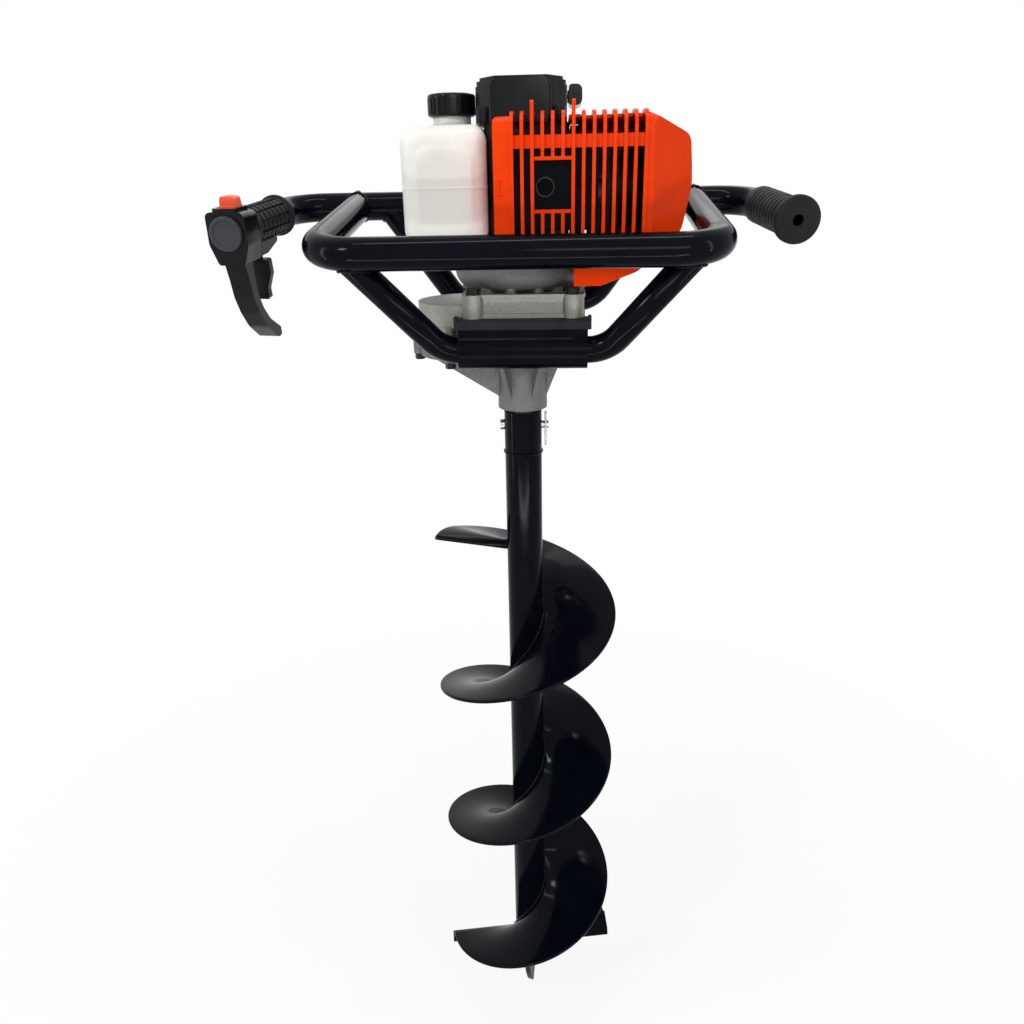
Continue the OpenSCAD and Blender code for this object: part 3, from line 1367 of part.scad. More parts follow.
module gear_case_upper() {
  color([0.66, 0.66, 0.67]) difference() {
    union() {
      translate([0, 0, parting_z]) linear_extrude(block_z - parting_z + 1) case_plan(0);
      translate([-gear_centres, 0, parting_z]) cylinder(r = lobe_r, h = lobe_top - parting_z);
      translate([-gear_centres, -lobe_r + 6, parting_z])
        cube([gear_centres, 2 * lobe_r - 12, lobe_top - parting_z]);
      translate([0, 0, parting_z]) lug_row(lug_h);
      translate([block_x, 0, block_z]) linear_extrude(block_h)
        polygon(box_outline(block_w - 4, block_l - 6, 6));
      translate([block_x, 0, block_z]) linear_extrude(4) polygon(box_outline(block_w, block_l, 8));
      translate([block_x, 0, engine_z - 3]) linear_extrude(3) polygon(box_outline(block_w, block_l, 8));
      for (q = block_bolts) translate([q.x, q.y, block_z]) cylinder(r = boss_r, h = block_h);
      // Corner posts that take the rear bolts
      for (x = [-1, 1]) translate([block_x + x * block_bolt_x, block_l / 2 - boss_r, block_z])
        cylinder(r = boss_r, h = block_h);
    }
    // Chamber of the layshaft wheel and the drum pinion
    translate([0, 0, parting_z - 1]) linear_extrude(upper_seat_z - parting_z + 1) {
      translate([-gear_centres, 0]) circle(r = wheel_one_tip + tip_gap);
      circle(r = pinion_one_tip + tip_gap + 3);
    }
    for (x = [-gear_centres, 0]) translate([x, 0, upper_seat_z - 1])
      cylinder(d = small_bearing_d + 2 * seat_gap, h = small_bearing_w + 1 + free_gap);
    translate([0, 0, drum_chamber_z]) cylinder(r = drum_r + 2, h = deep);
    for (q = block_bolts) translate([q.x, q.y, parting_z - 1])
      cylinder(d = block_bolt_d + 2 * seat_gap, h = deep);
    for (x = [-1, 1]) translate([block_x + x * block_bolt_x, block_l / 2 - stud_deep, stud_z])
      rotate([-90, 0, 0])
      cylinder(d = block_bolt_d + 2 * seat_gap, h = deep);
    for (q = case_lugs) translate([q.x, q.y, parting_z - 1])
      cylinder(d = lug_bolt_d + 2 * seat_gap, h = lug_h - 1);
  }
}
module layshaft() {
  color([0.62, 0.62, 0.64]) translate([-gear_centres, 0, 0]) {
    translate([0, 0, lay_low + 0.5])
      cylinder(d = lay_d, h = upper_seat_z + small_bearing_w - lay_low - 0.5);
    translate([0, 0, chamber_z + free_gap])
      gear(module_two, pinion_teeth, parting_z - chamber_z + 1, 180 / pinion_teeth);
    difference() {
      translate([0, 0, wheel_one_z]) gear(module_one, wheel_one_teeth, wheel_one_w);
      for (k = [0:4]) rotate([0, 0, 72 * k]) translate([27, 0, wheel_one_z - 1])
        cylinder(r = 9, h = wheel_one_w + 2);
    }
  }
}
module output_wheel() {
  color([0.6, 0.6, 0.62]) translate([0, 0, chamber_z + free_gap]) difference() {
    gear(module_two, wheel_two_teeth, wheel_two_w);
    translate([0, 0, -1]) cylinder(d = output_d + 2 * seat_gap, h = wheel_two_w + 2);
    for (k = [0:4]) rotate([0, 0, 72 * k]) translate([24, 0, -1]) cylinder(r = 8, h = wheel_two_w + 2);
  }
}
module output_shaft() {
  low = bit_len - output_reach;
  top = chamber_z + free_gap + wheel_two_w;
  color([0.7, 0.7, 0.72]) difference() {
    translate([0, 0, low]) cylinder(d = output_d, h = top - low);
    translate([0, 0, pin_z]) rotate([0, 90, 0])
      cylinder(d = pin_d + 2 * seat_gap, h = deep, center = true);
  }
}
module bearing(z, od, id, w) {
  translate([0, 0, z]) rotate_extrude() polygon([
    [id / 2 + run_gap, 0], [od / 2, 0], [od / 2, w], [id / 2 + run_gap, w]
  ]);
}
module bearings() {
  color([0.8, 0.8, 0.82]) {
    bearing(neck_z + seal_w + 1, output_bearing_d, output_d, output_bearing_w - 0.5);
    bearing(chamber_z - 2 - output_bearing_w, output_bearing_d, output_d, output_bearing_w);
    translate([-gear_centres, 0, 0]) bearing(lay_low, small_bearing_d, lay_d, small_bearing_w);
    translate([-gear_centres, 0, 0]) bearing(upper_seat_z, small_bearing_d, lay_d, small_bearing_w);
    bearing(upper_seat_z, small_bearing_d, lay_d, small_bearing_w);
    for (z = crank_bearing_heights()) bearing(z, crank_bearing_d, crank_d, crank_bearing_w);
  }
}
module oil_seal() {
  color([0.1, 0.1, 0.1]) bearing(neck_z + 0.5, output_bearing_d, output_d + 0.2, seal_w - 0.5);
}
module case_bolts() {
  color([0.12, 0.12, 0.12]) for (q = case_lugs) translate([q.x, q.y, parting_z - lug_low_h]) {
    translate([0, 0, -6]) cylinder(r = 5, h = 6 - seat_gap, $fn = 6);
    translate([0, 0, -2]) cylinder(d = lug_bolt_d, h = lug_low_h + lug_h - 1);
  }
}
module saddle_bolts() {
  foot = saddle_z - sleeve_wall + 1;
  head_z = engine_z + seat_gap;
  rear_l = stud_deep + pad_t + sleeve_wall - 2;
  color([0.3, 0.3, 0.3]) {
    for (q = block_bolts) translate([q.x, q.y, 0]) {
      translate([0, 0, foot]) cylinder(d = block_bolt_d, h = head_z - foot + 1);
      translate([0, 0, head_z]) cylinder(r = block_bolt_d / 2 + 2.5, h = bolt_head_h);
    }
    for (x = [-1, 1]) translate([block_x + x * block_bolt_x, block_l / 2 - stud_deep + 1, stud_z])
      rotate([-90, 0, 0])
      cylinder(d = block_bolt_d, h = rear_l);
  }
}

// Drill bit
module bit_socket() {
  color([0.05, 0.05, 0.05]) difference() {
    union() {
      translate([0, 0, socket_low]) cylinder(d = shaft_d, h = socket_len);
      translate([0, 0, socket_low - spigot_len])
        cylinder(d = shaft_d - 2 * shaft_wall - 2 * seat_gap, h = spigot_len + 1);
    }
    translate([0, 0, bit_len - output_reach - 2]) cylinder(d = output_d + 2 * seat_gap, h = deep);
    translate([0, 0, pin_z]) rotate([0, 90, 0])
      cylinder(d = pin_d + 2 * seat_gap, h = deep, center = true);
  }
}
module bit_tube() {
  color([0.05, 0.05, 0.05]) translate([0, 0, shaft_low]) difference() {
    cylinder(d = shaft_d, h = socket_low - shaft_low);
    translate([0, 0, -1]) cylinder(d = shaft_d - 2 * shaft_wall, h = socket_low - shaft_low + 2);
  }
}
module flight_turn(k, sweep = 360) {
  color([0.05, 0.05, 0.05])
    helix_plate(flight_low + flight_pitch * k, flight_phase, sweep, shaft_d / 2, flight_d / 2, flight_t,
      flight_pitch);
}
module lower_flight() {
  flight_turn(0);
}
module middle_flight() {
  flight_turn(1);
}
module upper_flight() {
  flight_turn(2, 360 - top_trim);
}
module lower_wing() {
  color([0.05, 0.05, 0.05])
    helix_plate(flight_low, flight_phase + 180, wing_turn, shaft_d / 2, flight_d / 2, flight_t,
      flight_pitch);
}
// Place of a blade: its back edge lies under the leading edge of its flight
module blade_place() {
  for (a = [0, 180]) rotate([0, 0, flight_phase + a]) translate([0, 0, flight_low])
    rotate([blade_slope, 0, 0]) children();
}
module cutting_blades() {
  bevel = 6;
  edge = blade_lap - blade_w;
  low = -blade_t - blade_drop;
  color([0.07, 0.07, 0.07]) blade_place() rotate([90, 0, 90]) translate([0, 0, blade_from])
    linear_extrude(blade_to - blade_from) polygon([
      [blade_lap, low], [blade_lap, -blade_drop], [edge + bevel, -blade_drop], [edge, low]
    ]);
}
module pilot_point() {
  plug_r = shaft_d / 2 - shaft_wall - seat_gap;
  color([0.06, 0.06, 0.06]) {
    translate([0, 0, shaft_low - 4]) cylinder(r = plug_r, h = spigot_len);
    rotate([0, 0, 70]) rotate([90, 0, 0]) translate([0, 0, -pilot_t / 2]) linear_extrude(pilot_t)
      polygon([
      [-pilot_w / 2, shaft_low], [-pilot_w / 2, shaft_low - 14], [-pilot_w / 2 + 4, 20], [-4, 5],
        [-1.5, 0],
      [1.5, 0], [5, 14], [pilot_w / 2 - 4, 24], [pilot_w / 2, shaft_low - 14], [pilot_w / 2, shaft_low]
    ]);
  }
}
module cross_pin() {
  reach = shaft_d / 2 + pin_reach;
  color([0.72, 0.72, 0.74]) translate([0, 0, pin_z]) difference() {
    union() {
      translate([-shaft_d / 2 - 1, 0, 0]) rotate([0, 90, 0])
        cylinder(d = pin_d, h = reach + shaft_d / 2 + 1);
      translate([-shaft_d / 2 - 4 - seat_gap, 0, 0]) rotate([0, 90, 0]) cylinder(d = pin_head_d, h = 4);
    }
    translate([reach - 3, 0, 0]) cylinder(d = clip_d + 2 * seat_gap, h = deep, center = true);
  }
}
module spring_clip() {
  out = pin_d / 2 + clip_d / 2 + seat_gap;
  color([0.72, 0.72, 0.74]) translate([shaft_d / 2 + pin_reach - 3, 0, pin_z]) rotate([90, 0, -90])
    bent_tube([
    [0, 14], [0, -20], [out + 0.6, -20], [out + 0.6, 4], [out + 3, 14]
  ], 2.5, clip_d, 0);
}

rear_handlebar();
guard_bar();
front_leg();
rear_leg();
front_saddle();
rear_saddle();
front_pad();
rear_pad();
right_grip();
left_grip();
housing_inner();
housing_outer();
housing_cap();
stop_switch();
throttle_lever();
lever_lock();
fuel_tank();
fuel_cap();
starter_cover();
starter_handle();
starter_reel();
crankcase();
fan_case();
flywheel();
crankshaft();
clutch_shoes();
clutch_drum();
piston();
connecting_rod();
engine_cylinder();
spark_plug();
plug_boot();
ignition_coil();
muffler();
engine_cover();
cover_grille();
carburettor();
air_cleaner_base();
air_cleaner_cover();
choke_lever();
primer_bulb();
gear_case_upper();
gear_case_lower();
layshaft();
output_wheel();
output_shaft();
bearings();
oil_seal();
case_bolts();
saddle_bolts();
bit_socket();
bit_tube();
upper_flight();
middle_flight();
lower_flight();
lower_wing();
cutting_blades();
pilot_point();
cross_pin();
spring_clip();
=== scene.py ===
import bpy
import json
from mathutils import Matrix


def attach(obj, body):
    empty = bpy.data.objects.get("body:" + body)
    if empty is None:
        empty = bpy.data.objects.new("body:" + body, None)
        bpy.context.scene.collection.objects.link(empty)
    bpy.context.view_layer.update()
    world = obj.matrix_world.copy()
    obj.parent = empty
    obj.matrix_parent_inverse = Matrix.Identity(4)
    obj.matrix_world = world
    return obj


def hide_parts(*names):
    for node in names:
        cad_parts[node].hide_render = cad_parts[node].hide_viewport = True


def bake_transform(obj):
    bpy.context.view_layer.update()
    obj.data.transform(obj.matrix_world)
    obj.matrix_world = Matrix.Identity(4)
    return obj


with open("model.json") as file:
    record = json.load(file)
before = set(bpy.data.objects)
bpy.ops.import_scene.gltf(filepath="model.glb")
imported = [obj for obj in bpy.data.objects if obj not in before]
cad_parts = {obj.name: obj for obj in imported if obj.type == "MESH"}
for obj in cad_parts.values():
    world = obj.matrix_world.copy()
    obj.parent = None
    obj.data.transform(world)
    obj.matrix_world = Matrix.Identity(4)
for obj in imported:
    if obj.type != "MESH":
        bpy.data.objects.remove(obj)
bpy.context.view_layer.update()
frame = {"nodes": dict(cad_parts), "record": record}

import json
import math

import bmesh
import bpy
import numpy as np
from mathutils import Matrix, Vector

# Lengths are in mm and turned to metres by MM, unless a comment says otherwise
MM = 0.001
FULL_TURN = 2 * math.pi
nodes = frame["nodes"]
scene = bpy.context.scene
scene.view_settings.view_transform = "Standard"

# Materials
GLOSS_PATCH = 60.0
SPECK_FADE = 0.05


def shader_tree(name):
    mat = bpy.data.materials.new(name)
    mat.use_nodes = True
    tree = mat.node_tree
    bsdf = tree.nodes["Principled BSDF"]
    coord = tree.nodes.new("ShaderNodeTexCoord")
    return mat, tree, bsdf, coord


def noise(tree, coord, scale, detail=4.0, rough=0.55):
    n = tree.nodes.new("ShaderNodeTexNoise")
    n.inputs["Scale"].default_value = scale
    n.inputs["Detail"].default_value = detail
    n.inputs["Roughness"].default_value = rough
    tree.links.new(coord.outputs["Object"], n.inputs["Vector"])
    return n.outputs["Fac"]


def span(tree, value, low, high, start=0.3, stop=0.7):
    """Maps start to stop onto low to high."""
    m = tree.nodes.new("ShaderNodeMapRange")
    m.inputs["From Min"].default_value = start
    m.inputs["From Max"].default_value = stop
    m.inputs["To Min"].default_value = low
    m.inputs["To Max"].default_value = high
    tree.links.new(value, m.inputs["Value"])
    return m.outputs["Result"]


def mix_colour(tree, fac, a, b):
    """Mixes two colours, each a triple or another colour output."""
    m = tree.nodes.new("ShaderNodeMix")
    m.data_type = "RGBA"
    for socket, colour in (("A", a), ("B", b)):
        if isinstance(colour, tuple):
            m.inputs[socket].default_value = (*colour, 1)
        else:
            tree.links.new(colour, m.inputs[socket])
    tree.links.new(fac, m.inputs["Factor"])
    return m.outputs["Result"]


def bump(tree, height, strength, distance, bsdf, below=None):
    """Adds a bump, on top of the normal of another one where below is given."""
    b = tree.nodes.new("ShaderNodeBump")
    b.inputs["Strength"].default_value = strength
    b.inputs["Distance"].default_value = distance
    tree.links.new(height, b.inputs["Height"])
    if below is not None:
        tree.links.new(below, b.inputs["Normal"])
    tree.links.new(b.outputs["Normal"], bsdf.inputs["Normal"])
    return b.outputs["Normal"]


def surface(name, dark, light, rough, metal=0.0, patch=35.0, grain=None, wave=None, speck=None, specular=0.5):
    """A material with patches of two colours, specks of a third, uneven gloss, and fine and broad unevenness.
    rough is (low, high), grain and wave are (scale, strength, distance), speck is (scale, from, colour)."""
    mat, tree, bsdf, coord = shader_tree(name)
    colour = mix_colour(tree, span(tree, noise(tree, coord, patch), 0, 1), dark, light)
    if speck:
        scale, start, speck_colour = speck
        spots = span(tree, noise(tree, coord, scale, 2.0, 0.4), 0, 1, start, start + SPECK_FADE)
        colour = mix_colour(tree, spots, colour, speck_colour)
    tree.links.new(colour, bsdf.inputs["Base Color"])
    tree.links.new(span(tree, noise(tree, coord, GLOSS_PATCH), *rough), bsdf.inputs["Roughness"])
    bsdf.inputs["Metallic"].default_value = metal
    bsdf.inputs["Specular IOR Level"].default_value = specular
    normal = None
    if wave:
        scale, strength, distance = wave
        normal = bump(tree, noise(tree, coord, scale, 2.0), strength, distance, bsdf)
    if grain:
        scale, strength, distance = grain
        bump(tree, noise(tree, coord, scale, 6.0, 0.65), strength, distance, bsdf, normal)
    return mat


def tank_plastic():
    """Milky plastic that lets some light in."""
    mat, tree, bsdf, coord = shader_tree("milky_tank_plastic")
    cloud = span(tree, noise(tree, coord, 22), 0, 1)
    tree.links.new(mix_colour(tree, cloud, (0.7, 0.69, 0.645), (0.78, 0.772, 0.725)), bsdf.inputs["Base Color"])
    tree.links.new(span(tree, noise(tree, coord, 90), 0.34, 0.46), bsdf.inputs["Roughness"])
    bsdf.inputs["Specular IOR Level"].default_value = 0.3
    bsdf.inputs["Subsurface Weight"].default_value = 0.6
    bsdf.inputs["Subsurface Radius"].default_value = (1.0, 0.95, 0.85)
    bsdf.inputs["Subsurface Scale"].default_value = 0.012
    broad = bump(tree, noise(tree, coord, 45, 2.0), 0.12, 0.001, bsdf)
    bump(tree, noise(tree, coord, 700, 5.0), 0.1, 0.0003, bsdf, broad)
    return mat


# The blacks have a low specular level, because mirror rays see the white backdrop
MATS = {
    "gloss_black": surface(
        "gloss_black_paint", (0.0008, 0.0015, 0.0034), (0.0018, 0.003, 0.0056), (0.09, 0.17),
        wave=(240, 0.1, 0.0004), speck=(1500, 0.72, (0.008, 0.0095, 0.013)), specular=0.055),
    "satin_black": surface(
        "satin_black_paint", (0.001, 0.0015, 0.003), (0.0022, 0.0028, 0.005), (0.2, 0.32),
        grain=(1400, 0.1, 0.0003), specular=0.04),
    "black_rubber": surface(
        "black_rubber", (0.0085, 0.0098, 0.0112), (0.0155, 0.0172, 0.0188), (0.5, 0.66),
        grain=(1800, 0.25, 0.0003), speck=(2400, 0.7, (0.026, 0.028, 0.03)), specular=0.1),
    "black_plastic": surface(
        "black_plastic", (0.0055, 0.006, 0.0072), (0.0105, 0.011, 0.0125), (0.28, 0.42),
        grain=(2200, 0.16, 0.00025), wave=(90, 0.05, 0.0006), specular=0.16),
    "red_plastic": surface(
        "red_plastic", (0.7, 0.075, 0.026), (0.84, 0.1, 0.036), (0.3, 0.42),
        grain=(1500, 0.06, 0.0002), specular=0.25),
    "orange_plastic": surface(
        "orange_plastic", (0.7, 0.036, 0.0004), (0.79, 0.046, 0.0007), (0.22, 0.34),
        grain=(1300, 0.05, 0.0002), wave=(60, 0.06, 0.0008), specular=0.075),
    "cast_aluminium": surface(
        "cast_aluminium", (0.25, 0.25, 0.225), (0.33, 0.33, 0.3), (0.42, 0.6), metal=0.7, patch=60,
        grain=(1300, 0.6, 0.0007), speck=(1500, 0.6, (0.5, 0.5, 0.46))),
    # A darker copy of cast_aluminium: painted shade for the fan case and the lower gear case, which lie in shadow
    "painted_shade_casting": surface(
        "painted_shade_casting", (0.11, 0.112, 0.105), (0.155, 0.157, 0.148), (0.45, 0.62), metal=0.7, patch=60,
        grain=(1300, 0.6, 0.0007), speck=(1500, 0.6, (0.26, 0.26, 0.245))),
    "steel": surface(
        "ground_steel", (0.42, 0.42, 0.43), (0.55, 0.55, 0.56), (0.22, 0.34), metal=1.0, patch=120,
        grain=(2500, 0.08, 0.0002)),
    "zinc_steel": surface(
        "zinc_steel", (0.42, 0.42, 0.42), (0.58, 0.58, 0.57), (0.2, 0.34), metal=1.0, patch=200,
        grain=(1500, 0.08, 0.0002)),
    "black_steel": surface(
        "black_oxide_steel", (0.012, 0.012, 0.013), (0.026, 0.026, 0.027), (0.3, 0.45), metal=0.6,
        grain=(1500, 0.1, 0.0002), specular=0.25),
    "ceramic": surface(
        "white_ceramic", (0.72, 0.72, 0.7), (0.8, 0.8, 0.78), (0.1, 0.18), grain=(900, 0.03, 0.0002)),
    "clear_rubber": surface(
        "primer_rubber", (0.55, 0.42, 0.28), (0.66, 0.52, 0.36), (0.25, 0.4), grain=(900, 0.05, 0.0002)),
    "glossy_plastic": surface(
        "glossy_black_plastic", (0.004, 0.0044, 0.0056), (0.0075, 0.008, 0.0095), (0.12, 0.2),
        grain=(1900, 0.05, 0.0002), wave=(70, 0.06, 0.0006), specular=0.13),
    "worn_plastic": surface(
        "worn_black_plastic", (0.03, 0.031, 0.034), (0.042, 0.043, 0.047), (0.4, 0.55),
        grain=(1900, 0.2, 0.0003), speck=(1500, 0.66, (0.075, 0.076, 0.08)), specular=0.15),
    # Dark aluminium for the cylinder and crankcase: partly a dark heat paint, partly painted shade for the cylinder
    # behind the grille and the crankcase in the gap beside the tank
    "dark_paint_and_shade_aluminium": surface(
        "dark_paint_and_shade_aluminium", (0.012, 0.011, 0.011), (0.03, 0.028, 0.027), (0.5, 0.7), metal=0.4, patch=90,
        grain=(900, 0.4, 0.0006), specular=0.2),
    "tank_plastic": tank_plastic(),
}

# Finish of the CAD nodes: widths of their rounded edges, and materials other than the record's slot
BEVEL = {
    "front_saddle": 0.8, "rear_saddle": 0.8, "front_pad": 0.8, "rear_pad": 0.8, "saddle_bolts": 0.5,
    "housing_inner": 0.7, "housing_outer": 0.7, "housing_cap": 0.3, "stop_switch": 0.6, "throttle_lever": 0.6,
    "lever_lock": 0.6, "left_grip": 0.35, "right_grip": 0.35, "fuel_cap": 0.4, "starter_cover": 0.8,
    "starter_handle": 0.6, "crankcase": 0.6, "fan_case": 0.5, "engine_cylinder": 0.3, "muffler": 0.8,
    "engine_cover": 0.8, "cover_grille": 0.55, "carburettor": 0.5, "air_cleaner_base": 0.6,
    "air_cleaner_cover": 0.5, "choke_lever": 0.4, "ignition_coil": 0.4, "plug_boot": 0.4, "spark_plug": 0.2,
    "gear_case_upper": 0.8, "gear_case_lower": 0.8, "case_bolts": 0.4, "bit_socket": 0.4, "bit_tube": 0.3,
    "cutting_blades": 0.4, "pilot_point": 0.5, "cross_pin": 0.4,
}
FINISH = {
    # The cylinder and crankcase take the dark aluminium that is partly painted shade
    "engine_cylinder": "dark_paint_and_shade_aluminium", "crankcase": "dark_paint_and_shade_aluminium", "muffler": "gloss_black",
    "starter_cover": "glossy_plastic", "starter_handle": "glossy_plastic", "fuel_cap": "glossy_plastic",
    "housing_cap": "worn_plastic", "throttle_lever": "glossy_plastic", "housing_outer": "glossy_plastic",
    # The fan case and the lower gear case take the copy of the casting darkened as painted shade
    "housing_inner": "glossy_plastic", "fan_case": "painted_shade_casting", "gear_case_lower": "painted_shade_casting",
    "pilot_point": "gloss_black",
}
EDGE_ANGLE = math.radians(38)
EDGE_SEGMENTS = 2
SAME_POINT = 1e-6
slot_of = {s["node"]: s["material_slot"] for s in frame["record"]["subparts"]}


def even_normals(o):
    o.modifiers.new("normals", "WEIGHTED_NORMAL")


def round_edges(o, width):
    edge = o.modifiers.new("edges", "BEVEL")
    edge.width = width * MM
    edge.segments = EDGE_SEGMENTS
    edge.limit_method = "ANGLE"
    edge.angle_limit = EDGE_ANGLE
    edge.use_clamp_overlap = True
    even_normals(o)


def finish_node(name):
    """Gives a CAD node its material, and rounds its sharp edges where BEVEL says so."""
    o = nodes[name]
    o.data.materials.clear()
    o.data.materials.append(MATS[FINISH.get(name) or slot_of[name]])
    if name in BEVEL:
        weld = o.modifiers.new("weld", "WELD")
        weld.merge_threshold = SAME_POINT
        round_edges(o, BEVEL[name])


# Making of pieces


def piece(name, verts, faces, slot, body, smooth=True, stands_for=()):
    """A new object from points in metres, which rides on a body and may replace CAD nodes."""
    mesh = bpy.data.meshes.new(name)
    mesh.from_pydata([tuple(v) for v in verts], [], faces)
    mesh.validate()
    bm = bmesh.new()
    bm.from_mesh(mesh)
    bmesh.ops.recalc_face_normals(bm, faces=bm.faces)
    bm.to_mesh(mesh)
    bm.free()
    for p in mesh.polygons:
        p.use_smooth = smooth
    o = bpy.data.objects.new(name, mesh)
    scene.collection.objects.link(o)
    mesh.materials.append(MATS[slot])
    if stands_for:
        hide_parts(*stands_for)
    if body:
        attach(o, body)
    return o


def strip_faces(rows, ring, ends="caps"):
    """Faces of a skin over rows of points, each row a ring of the same length. The ends are closed by caps,
    left open, or joined to each other in a loop."""
    faces = []
    for i in range(rows if ends == "loop" else rows - 1):
        here, after = i * ring, (i + 1) % rows * ring
        for j in range(ring):
            k = (j + 1) % ring
            faces.append((here + j, here + k, after + k, after + j))
    if ends == "caps":
        faces.append(tuple(range(ring)))
        faces.append(tuple((rows - 1) * ring + j for j in range(ring)))
    return faces


def round_points(count):
    """Cosine and sine of so many even steps round a circle."""
    return [(math.cos(FULL_TURN * k / count), math.sin(FULL_TURN * k / count)) for k in range(count)]


def sweep(name, path, radius, slot, body, sides=10, wobble=0.0, seed=1, closed=False, stands_for=()):
    """A round bead along a path of points, in metres. wobble makes it as uneven as a weld."""
    rng = np.random.default_rng(seed)
    path = [Vector(p) for p in path]
    count = len(path)
    off_axis = Vector((0.13, 0.31, 0.94))
    verts = []
    for i, p in enumerate(path):
        before = path[(i - 1) % count] if closed or i else p
        after = path[(i + 1) % count] if closed or i < count - 1 else p
        t = (after - before).normalized()
        n = t.cross(off_axis).normalized()
        b = t.cross(n)
        r = radius * (1 + wobble * math.sin(i * 1.9) + wobble * 0.6 * (rng.random() - 0.5))
        verts += [p + (n * c + b * s) * r for c, s in round_points(sides)]
    faces = strip_faces(count, sides, "loop" if closed else "caps")
    return piece(name, verts, faces, slot, body, stands_for=stands_for)


# Drill bit: sizes in mm, phase and turns in degrees
FLIGHT = dict(d=200.0, pitch=190.0, t=4.0, low=98.2, phase=189.5, shaft=38.0, wing=70.0, turns=1064.5)
FLIGHT_RADII = [26, 36, 48, 60, 72, 84, 93]
# Rounding of the rim: distance from the rim, and from the face
FLIGHT_RIM = [(1.2, 0.0), (0.35, 0.45), (0.0, 1.4)]
# The last end droops over some degrees, by so much at the tube and at the rim
DROOP = dict(over=29.0, tube=16.0, rim=9.0)
FLIGHT_STEPS, FLIGHT_STEPS_LEAST, BEAD_STEPS = 150, 24, 130
WELD_SIDES, LONG_WOBBLE, RING_WOBBLE = 8, 0.16, 0.14
RING_STEPS = 90


def flight_height(a, r):
    """Height of the spiral above its start, a degrees on: its last end droops, most at the tube."""
    k = max(0.0, 1 - (FLIGHT["turns"] - a) / DROOP["over"])
    out = (r - FLIGHT["shaft"] / 2) / (FLIGHT["d"] / 2 - FLIGHT["shaft"] / 2)
    return FLIGHT["pitch"] * a / 360 - k * k * (DROOP["tube"] + (DROOP["rim"] - DROOP["tube"]) * out)


def helix(name, phase, sweep_deg, stands_for):
    r_in, r_out, t = FLIGHT["shaft"] / 2 + 0.05, FLIGHT["d"] / 2 - 0.2, FLIGHT["t"]
    radii = [r_in] + FLIGHT_RADII
    ring = [(r, 0) for r in radii] + [(r_out - inset, h) for inset, h in FLIGHT_RIM]
    ring += [(r_out - inset, t - h) for inset, h in reversed(FLIGHT_RIM)] + [(r, t) for r in reversed(radii)]
    steps = max(FLIGHT_STEPS_LEAST, int(FLIGHT_STEPS * sweep_deg / 360))
    verts = []
    for i in range(steps + 1):
        a = sweep_deg * i / steps
        c, s = math.cos(math.radians(phase + a)), math.sin(math.radians(phase + a))
        for r, dz in ring:
            verts.append((r * c * MM, r * s * MM, (FLIGHT["low"] + flight_height(a, r) + dz) * MM))
    o = piece(name, verts, strip_faces(steps + 1, len(ring)), "gloss_black", "bit", stands_for=stands_for)
    even_normals(o)


def helix_bead(name, lift, phase, sweep_deg, seed):
    """The weld along the inner edge of a spiral, which stops 2 degrees short of its ends."""
    steps = int(BEAD_STEPS * sweep_deg / 360)
    r = FLIGHT["shaft"] / 2 + 0.9
    path = []
    for i in range(steps + 1):
        a = 2 + (sweep_deg - 4) * i / steps
        q = math.radians(phase + a)
        z = FLIGHT["low"] + lift + flight_height(a, r)
        path.append((r * math.cos(q) * MM, r * math.sin(q) * MM, z * MM))
    sweep(name, path, 1.9 * MM, "gloss_black", "bit", sides=WELD_SIDES, wobble=LONG_WOBBLE, seed=seed)


def ring_bead(name, z, r, bead, seed):
    """A weld of radius bead round the bit."""
    angles = np.linspace(0, FULL_TURN, RING_STEPS, endpoint=False)
    path = [(r * math.cos(a) * MM, r * math.sin(a) * MM, z * MM) for a in angles]
    sweep(name, path, bead * MM, "gloss_black", "bit", sides=WELD_SIDES, wobble=RING_WOBBLE, seed=seed, closed=True)


WING_PHASE = FLIGHT["phase"] + 180
BEAD_UNDER, BEAD_OVER = -0.6, FLIGHT["t"] + 0.6
helix("spiral_flight", FLIGHT["phase"], FLIGHT["turns"], ["lower_flight", "middle_flight", "upper_flight"])
helix("spiral_wing", WING_PHASE, FLIGHT["wing"], ["lower_wing"])
helix_bead("weld_under_spiral", BEAD_UNDER, FLIGHT["phase"], FLIGHT["turns"], 3)
helix_bead("weld_over_spiral", BEAD_OVER, FLIGHT["phase"], FLIGHT["turns"], 4)
helix_bead("weld_over_wing", BEAD_OVER, WING_PHASE, FLIGHT["wing"], 5)
ring_bead("weld_socket", 757, 18.9, 1.5, 6)
ring_bead("weld_pilot", 52, 17.6, 1.9, 7)

# Front leg tube and the welds of the frame, whose plane is tilted
TILT, FRAME_Z = math.radians(9.0), 978.4
# Distances of the rear bar and the guard from the middle, and the guard's half width and bends
REAR, GUARD, GUARD_HALF, GUARD_BEND = 99.0, 111.0, 173.0, 42.0
REAR_FOOT, LEAN = (70.0, 87.25, 897.0), 3 / 4
LEG_R, BAR_R, LEG_BEND = 12, 14, 34.0
# Lower bends and upper ends of the front legs, which stand off the middle by different amounts
FRONT_FEET = {"left": Vector((-68.6, -68.0, 873.0)), "right": Vector((79.4, -68.0, 873.0))}
FRONT_TOPS = {"left": Vector((-144.8, -107.3, 961.4)), "right": Vector((152.9, -103.5, 962.0))}
JOINT_STEPS, JOINT_HALVINGS, JOINT_BEAD = 72, 22, 1.7


def frame_point(x, s):
    """A point of the tilted frame plane: x sideways, s to the back."""
    return Vector((x, s * math.cos(TILT), FRAME_Z + s * math.sin(TILT)))


